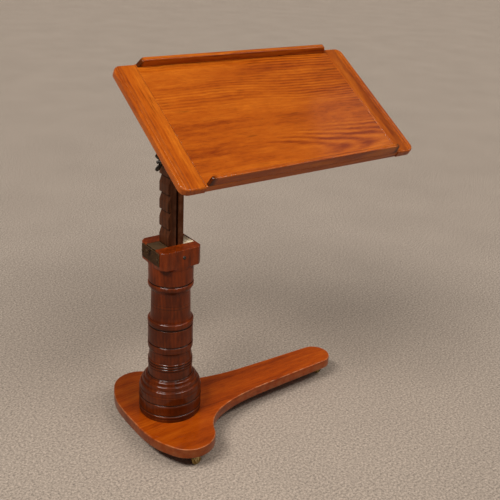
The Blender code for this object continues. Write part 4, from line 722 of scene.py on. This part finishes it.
joint = {
    "boltRadius": 0.004, "headRadius": 0.0085, "headRim": 0.35,     # the rim's share of the head's height
    "pitch": 0.00125, "thread": 0.00035, "runOut": 0.0005, "tip": 0.003,
    "bore": 0.0043, "washer": 0.01, "washerEase": 0.0004, "tongueEase": 0.0009,
}
low, high = nodeBox("tilt_bolt")
seat = nodeBox("washer_right")[1][0] + stand["gap"]
turn = quarter(9)
rise = joint["headRim"] + (1 - joint["headRim"]) * np.cos(turn)
threadEnd, threadStart = low[0], nodeBox("washer_left")[0][0] - 0.002
r, root = joint["boltRadius"], joint["boltRadius"] - joint["runOut"]
bolt = np.concatenate([
    np.stack([joint["headRadius"] * np.sin(turn), seat + (high[0] - seat) * rise], 1),
    [(joint["headRadius"], seat), (r, seat), (r, threadStart), (r, threadStart - 0.0002),
     (root, threadStart - 0.0003), (root, threadEnd + 0.0006), (joint["tip"], threadEnd), (0.0, threadEnd)]])


# A screw thread: radius = core + depth times a triangle wave of (length / pitch - angle / a full turn), which runs
# out at both ends into a line a tenth of a millimetre under the core
def thread(start, end, core, depth, pitch, sides=32, perTurn=8):
    rows = int(abs(end - start) / pitch * perTurn)
    along = np.linspace(start, end, rows)[:, None]
    angle = 2 * np.pi * (np.arange(sides) + 0.5) / sides
    phase = (along / pitch - angle / (2 * np.pi)) % 1
    under = 0.0001
    fade = np.clip(np.minimum(along - min(start, end), max(start, end) - along) / pitch, 0, 1)
    radius = core - under + (depth * (1 - np.abs(2 * phase - 1)) + under) * fade
    return skin(standing(radius * np.cos(angle), pivot + radius * np.sin(angle), along, "x"))


threads = thread(threadStart, threadEnd + 0.0004, r - joint["thread"], joint["thread"], joint["pitch"])
show(carved(turned(bolt, (0, pivot), "x", sides=40), threads, how="UNION"), iron, "tilt_bolt")
for node in ("washer_left", "washer_right"):
    low, high = nodeBox(node)
    ring = easeCorners(rectangle(joint["bore"], low[0], joint["washer"], high[0]), joint["washerEase"])
    show(turned(ring, (0, pivot), "x", ring=True), iron, node)

wing = {
    "root": (0.0052, 0.0042), "tip": (0.0148, 0.0135), "halfWidth": (0.003, 0.0076),
    "halfThick": (0.0026, 0.0014), "ease": 0.0005,
    # radius, and height above the seat
    "body": [(0.0043, 0.0), (0.0088, 0.0), (0.009, 0.0018), (0.0074, 0.003), (0.0066, 0.0078), (0.0058, 0.009),
             (0.0043, 0.009)],
}


# A lobe: ellipses whose half width swells from root to tip, times the square root of 1 - |t|^2.6, t from -1 to 1
def lobe(side, seat):
    t = np.linspace(-1, 1, 27)[:, None]
    u = (t + 1) / 2
    root, tip = (np.array([side * x, y]) for x, y in (wing["root"], wing["tip"]))
    run = (tip - root) / np.linalg.norm(tip - root)
    across = np.array([-run[1], run[0]])
    width, thick = (a * (1 - u) + b * u for a, b in (wing["halfWidth"], wing["halfThick"]))
    close = np.sqrt(np.clip(1 - np.abs(t) ** 2.6, 0, 1))
    reach = np.linalg.norm(tip - root) / 2 + wing["halfWidth"][1] * 0.85
    middle = (root + tip) / 2 + run * wing["halfWidth"][1] * 0.1
    angle = 2 * np.pi * np.arange(28) / 28
    swell = np.sign(np.cos(angle)) * np.abs(np.cos(angle)) ** 0.8
    line = middle + (t * reach)[..., None] * run + (close * width * swell)[..., None] * across
    depth = close * thick * np.sin(angle)
    return skin(np.stack([seat - line[..., 1], depth, pivot + line[..., 0]], -1))


seat = nodeBox("wing_nut")[1][0]
body = easeCorners(np.array(wing["body"]) * (1, -1) + (0, seat), wing["ease"])
mesh = carved(turned(body, (0, pivot), "x", sides=40, ring=True), lobe(-1, seat), lobe(1, seat), how="UNION")
bore = turned([(joint["bore"], seat + 0.001), (joint["bore"], seat - 0.03)], (0, pivot), "x", sides=24)
show(carved(mesh, bore), iron, "wing_nut")

showSoft("tilt_tongue", tongueWood, joint["tongueEase"])
print("tilt joint made")


# Catch

catch = {
    "plateArris": (0.0007, 0.0002), "plateCorner": 0.0042, "hole": 0.0032, "boltEase": 0.0005, "knobEase": 0.0005,
    # radius, and distance from the knob's face
    "knob": [(0.0, 0.0), (0.003, 0.0), (0.0044, 0.001), (0.005, 0.0026), (0.0048, 0.0042), (0.0034, 0.0052),
             (0.0032, 0.006), (0.0022, 0.006), (0.0022, 0.0372), (0.0016, 0.0374), (0.0, 0.0374)],
}
pullLow, pullHigh = nodeBox("catch_pull")
stem = (pullLow[1:] + pullHigh[1:]) / 2
low, high = nodeBox("catch_plate")
mesh = slab(rectangle(*low[1:], *high[1:]), low[0], high[0], catch["plateArris"], "x", cut=catch["plateCorner"])
hole = turned([(catch["hole"], low[0] - 0.01), (catch["hole"], high[0] + 0.01)], stem, "x", sides=32)
show(carved(mesh, hole), bronze, "catch_plate")
showSoft("catch_bolt", bronze, catch["boltEase"])
knob = easeCorners(catch["knob"], catch["knobEase"], looped=False)
knob[:, 1] = pullLow[0] + np.minimum(knob[:, 1], pullHigh[0] - pullLow[0])
show(turned(knob, stem, "x", sides=40), bronze, "catch_pull")
nodes["catch_spring"].data.materials.clear()
nodes["catch_spring"].data.materials.append(steel)
print("catch made")


# Board

board = {
    "arris": (0.0016, 0.0011), "gap": 0.00025, "cleatArris": (0.0016, 0.004), "corner": 0.02,
    "joint": 0.35,              # how much of the arris the joint's edges get
    "quirks": (0.01, 0.022), "quirkWidth": 0.002, "quirkDepth": 0.0006,
    "ledgeArris": 0.0024, "ledgeCorners": (0.0003, 0.006), "frontSlope": 0.005, "backSlope": 0.011,
    "bearerEase": 0.0012,
}
panelLow, panelHigh = nodeBox("top_panel", boardPlace)
left = nodeBox("cleat_left", boardPlace)[1][0] + board["gap"]
right = nodeBox("cleat_right", boardPlace)[0][0] - board["gap"]
show(slab(rectangle(left, panelLow[1], right, panelHigh[1]), panelLow[2], panelHigh[2], board["arris"],
          place=boardPlace, share=[1, board["joint"], 1, board["joint"]]), boardWood, "top_panel")

for side, node, finish in ((-1, "cleat_left", leftCleatWood), (1, "cleat_right", rightCleatWood)):
    low, high = nodeBox(node, boardPlace)
    r = board["corner"]
    outer, inner = (low[0], high[0]) if side < 0 else (high[0], low[0])
    outline = np.concatenate([arc((outer - side * r, high[1] - r), r, 90, 90 - side * 90, 20),
                              arc((outer - side * r, low[1] + r), r, -90 + side * 90, -90, 20),
                              [(inner, low[1]), (inner, high[1])]])
    share = np.ones(len(outline))
    share[-2] = board["joint"]
    if side > 0:                # the outline has to run the other way round
        outline = outline[::-1]
        share = np.roll(share[::-1], -1)
    mesh = slab(outline, low[2], high[2], board["cleatArris"], place=boardPlace, share=share)
    half, bottom = board["quirkWidth"] / 2, high[2] - board["quirkDepth"]
    proud, clear = high[2] + 0.0001, high[2] + 0.002
    tools = []
    for quirk in board["quirks"]:
        x = outer - side * quirk
        cut = [(x - half, proud), (x, bottom), (x + half, proud), (x + half, clear), (x - half, clear)]
        tools.append(prism(cut, (low[1] - 0.01, high[1] + 0.01), "y", boardPlace))
    show(carved(mesh, *tools), finish, node)

for node, slope, finish in (("ledge_front", board["frontSlope"], frontLedgeWood),
                            ("ledge_back", board["backSlope"], backLedgeWood)):
    low, high = nodeBox(node, boardPlace)
    outline = [(low[0], low[2]), (high[0], low[2]), (high[0] - slope, high[2]), (low[0] + slope, high[2])]
    show(slab(outline, low[1], high[1], (board["ledgeArris"],) * 2, "y", boardPlace,
              cut=np.repeat(board["ledgeCorners"], 2)), finish, node)

showSoft("board_bearer", bearerWood, board["bearerEase"])
print("board made")


# Castors

castor = {
    "wheelBore": 0.0023, "hub": 0.0045, "hubSlope": 0.0008, "dish": 0.001, "wheelEase": 0.0005,
    "rim": [(0.0036, 0.001), (0.0026, 0.0), (0.001, 0.0), (0.0, 0.0016)],     # in from the tread, from the side
    "axle": 0.002, "axleHead": 0.001, "forkEase": 0.0004, "plateEase": 0.0005,
}
hub = [(castor["wheelBore"], 0), (castor["hub"], 0), (castor["hub"] + castor["hubSlope"], castor["dish"])]
castorSpots = ("front", "back", "arm")
for spot in castorSpots:
    low, high = nodeBox("castor_wheel_" + spot)
    centre = (low[0] + high[0]) / 2, (low[2] + high[2]) / 2
    r = (high[2] - low[2]) / 2
    rim = bothEnds(hub + [(r - inwards, side) for inwards, side in castor["rim"]], low[1], high[1])
    rim = easeCorners(rim, castor["wheelEase"])
    show(turned(rim, centre, "y", sides=64, ring=True), brass, "castor_wheel_" + spot)
    low, high = nodeBox("castor_axle_" + spot)
    t = quarter(6)
    dome = np.stack([(high[2] - low[2]) / 2 * np.sin(t), castor["axleHead"] * (1 - np.cos(t))], 1)
    pin = bothEnds([*dome, (castor["axle"], castor["axleHead"])], low[1], high[1])
    show(turned(pin, centre, "y", sides=32), brass, "castor_axle_" + spot)
    showSoft("castor_fork_" + spot, brass, castor["forkEase"])
    showSoft("castor_plate_" + spot, brass, castor["plateEase"])
print("castors made")


# Screws

def numbered(stem, count):
    return ["%s_%d" % (stem, n + 1) for n in range(count)]


# The end is where the head is; its height and the shank's radius are in metres
usual = {"axis": "z", "end": -1, "dome": True, "finish": steel, "place": worldPlace}
fixings = [
    {"nodes": ["guide_screw"], "axis": "y", "head": 0.002, "shank": 0.0026, "finish": iron},
    {"nodes": numbered("catch_screw", 2), "axis": "x", "head": 0.0028, "shank": 0.0018, "finish": bronze},
    {"nodes": ["catch_stop_pin"], "axis": "y", "end": 1, "head": 0.003, "shank": 0.0016},
    {"nodes": [node for spot in castorSpots for node in numbered("castor_screw_" + spot, 2)], "head": 0.0012,
     "shank": 0.0013},
    {"nodes": numbered("column_screw", 4), "head": 0.003, "shank": 0.0028, "dome": False},
    {"nodes": numbered("bearer_screw", 4), "head": 0.0025, "shank": 0.0022, "dome": False, "place": boardPlace},
    {"nodes": numbered("ledge_screw", 6), "head": 0.002, "shank": 0.0018, "dome": False, "place": boardPlace},
]
screw = {
    "domed": 0.8, "proud": 0.0002, "edge": 0.0003, "taper": 0.002, "point": 0.0003,
    "slot": (1.2, 0.13, 0.42),  # half its length and half its width to the head's radius, its depth to the head's
}
halfLong, halfWide, deep = screw["slot"]
chance = np.random.default_rng(7)
for kind in ({**usual, **fixing} for fixing in fixings):
    place, sign, tall, shank = kind["place"], kind["end"], kind["head"], kind["shank"]
    along = "xyz".index(kind["axis"])
    others = [i for i in range(3) if i != along]
    for node in kind["nodes"]:
        low, high = nodeBox(node, place)
        centre = (low[others] + high[others]) / 2
        r = (high[others[0]] - low[others[0]]) / 2
        outer, inner = (high[along], low[along]) if sign > 0 else (low[along], high[along])
        under = outer - sign * tall
        if kind["dome"]:
            t = quarter(8)
            crown = np.stack([r * np.sin(t), outer - sign * tall * screw["domed"] * (1 - np.cos(t))], 1)
            crown = [*crown, (r, under)]
        else:
            proud = outer + sign * screw["proud"]
            crown = [(0, proud), (r - screw["edge"], proud), (r, proud - sign * screw["edge"])]
        profile = [*crown, (shank, under), (shank, inner + sign * screw["taper"]), (screw["point"], inner)]
        spin = chance.uniform(0, np.pi)
        turnBy = np.array([[np.cos(spin), -np.sin(spin)], [np.sin(spin), np.cos(spin)]])
        flat = rectangle(-r * halfLong, -r * halfWide, r * halfLong, r * halfWide) @ turnBy.T + centre
        cutter = prism(flat, (outer + sign * 0.001, outer - sign * tall * deep), kind["axis"], place)
        mesh = carved(turned(profile, centre, kind["axis"], 28, place), cutter)
        show(mesh, kind["finish"], node)
print("screws made")


# Room

room = {
    "floor": (0.36, 0.283, 0.218), "far": (0.375, 0.302, 0.24), "fade": (0.45, 1.35),
    "weave": 170, "cloud": 3, "cloudShare": 0.06, "contrast": (0.35, 1.65),
    "tint": (1.0, 0.97, 0.93), "world": 0.1,
    "middle": (-0.05, 0.0, 0.55),           # what every lamp looks at
    # How far each lamp is turned round the middle and raised, in degrees, its distance, size and power
    "lamps": {
        "key": (-164, 46, 3.7, (1.9, 0.45), 118), "fill": (-76, 50, 3.7, (2.0, 0.45), 50),
        "top": (-128, 55, 4.0, (5.0, 0.7), 40), "side": (-36, 38, 3.7, (2.2, 0.8), 22),
        "sheen": (3.2, 45.9, 3.86, (0.6, 0.6), 0.6),
    },
}
floorMesh = bpy.data.meshes.new("floor")
gridX, gridY = np.meshgrid(*[np.linspace(-30, 30, 3)] * 2)
floorMesh.from_pydata(np.stack([gridX, gridY, np.zeros_like(gridX)], -1).reshape(-1, 3).tolist(), [],
                      gridFaces(3, 3, looped=False))
w = Wiring("paleFloor")
spot = w.add("TexCoord").outputs["Object"]
weave = w.noise(w.stretched(spot, (room["weave"],) * 3), 4.0, 0.75)
cloud = w.noise(w.stretched(spot, (room["cloud"],) * 3), 3.0, 0.5)
tone = w.between(w.sum((weave, 1 - room["cloudShare"]), (cloud, room["cloudShare"])), 0.3, 0.7, *room["contrast"])
shader = w.add("BsdfPrincipled", {"Base Color": w.scaled(room["floor"], tone),
                                  "Roughness": w.between(weave, 0.3, 0.7, 0.85, 0.95)})
# Further off the camera sees one even tone instead; the light that reaches the stand doesn't change
glow = w.add("Emission", {"Color": w.scaled(room["far"], tone)})
away = w.add("VectorMath", {0: spot}, operation="LENGTH").outputs["Value"]
path = w.add("LightPath").outputs
seen = w.sum((path["Is Camera Ray"], 1.0), (path["Is Glossy Ray"], 1.0), (path["Is Transmission Ray"], 1.0))
share = w.times(w.between(away, *room["fade"]), seen)
mixed = w.add("MixShader", {0: share, 1: shader.outputs[0], 2: glow.outputs[0]})
w.tree.links.new(mixed.outputs[0], w.output.inputs["Surface"])
floorMesh.materials.append(w.material)
floorPiece = placed("floor", floorMesh)

world = bpy.data.worlds.new("paleRoom")
scene.world = world
world.use_nodes = True
background = world.node_tree.nodes["Background"].inputs
background["Color"].default_value = (*room["tint"], 1)
background["Strength"].default_value = room["world"]


def aim(thing, across, up, back, spot):  # its own x, y and z, and where it stands
    matrix = np.eye(4)
    matrix[:3] = np.stack([across, up, back, spot], 1)
    thing.matrix_world = Matrix(matrix.tolist())


for name, (turn, rise, reach, size, power) in room["lamps"].items():
    lamp = bpy.data.lights.new(name, "AREA")
    lamp.shape = "RECTANGLE"
    lamp.size, lamp.size_y = size
    lamp.energy = power
    t, e = np.radians([turn, rise])
    away = np.array([np.cos(e) * np.cos(t), np.cos(e) * np.sin(t), np.sin(e)])
    sideways = np.cross((0, 0, 1), away)
    sideways /= np.linalg.norm(sideways)
    aim(placed(name, lamp), sideways, np.cross(away, sideways), away, room["middle"] + reach * away)

view = {"lens": 56.605, "place": (-1.14575, -1.4908, 1.2782), "azimuth": -36.9355, "down": 23.6188, "roll": 2.9805}
a, e, r = np.radians([view["azimuth"], view["down"], view["roll"]])
ahead = np.array([-np.sin(a) * np.cos(e), np.cos(a) * np.cos(e), -np.sin(e)])
across = np.array([np.cos(a), np.sin(a), 0])
upward = np.cross(across, ahead)
cameraData = bpy.data.cameras.new("camera")
cameraData.sensor_width = 36
cameraData.lens = view["lens"]
cameraData.clip_start = 0.05
camera = placed("camera", cameraData)
aim(camera, np.cos(r) * across + np.sin(r) * upward, np.cos(r) * upward - np.sin(r) * across, -ahead,
    view["place"])
scene.camera = camera
scene.view_settings.view_transform = "Standard"
print("room lit")
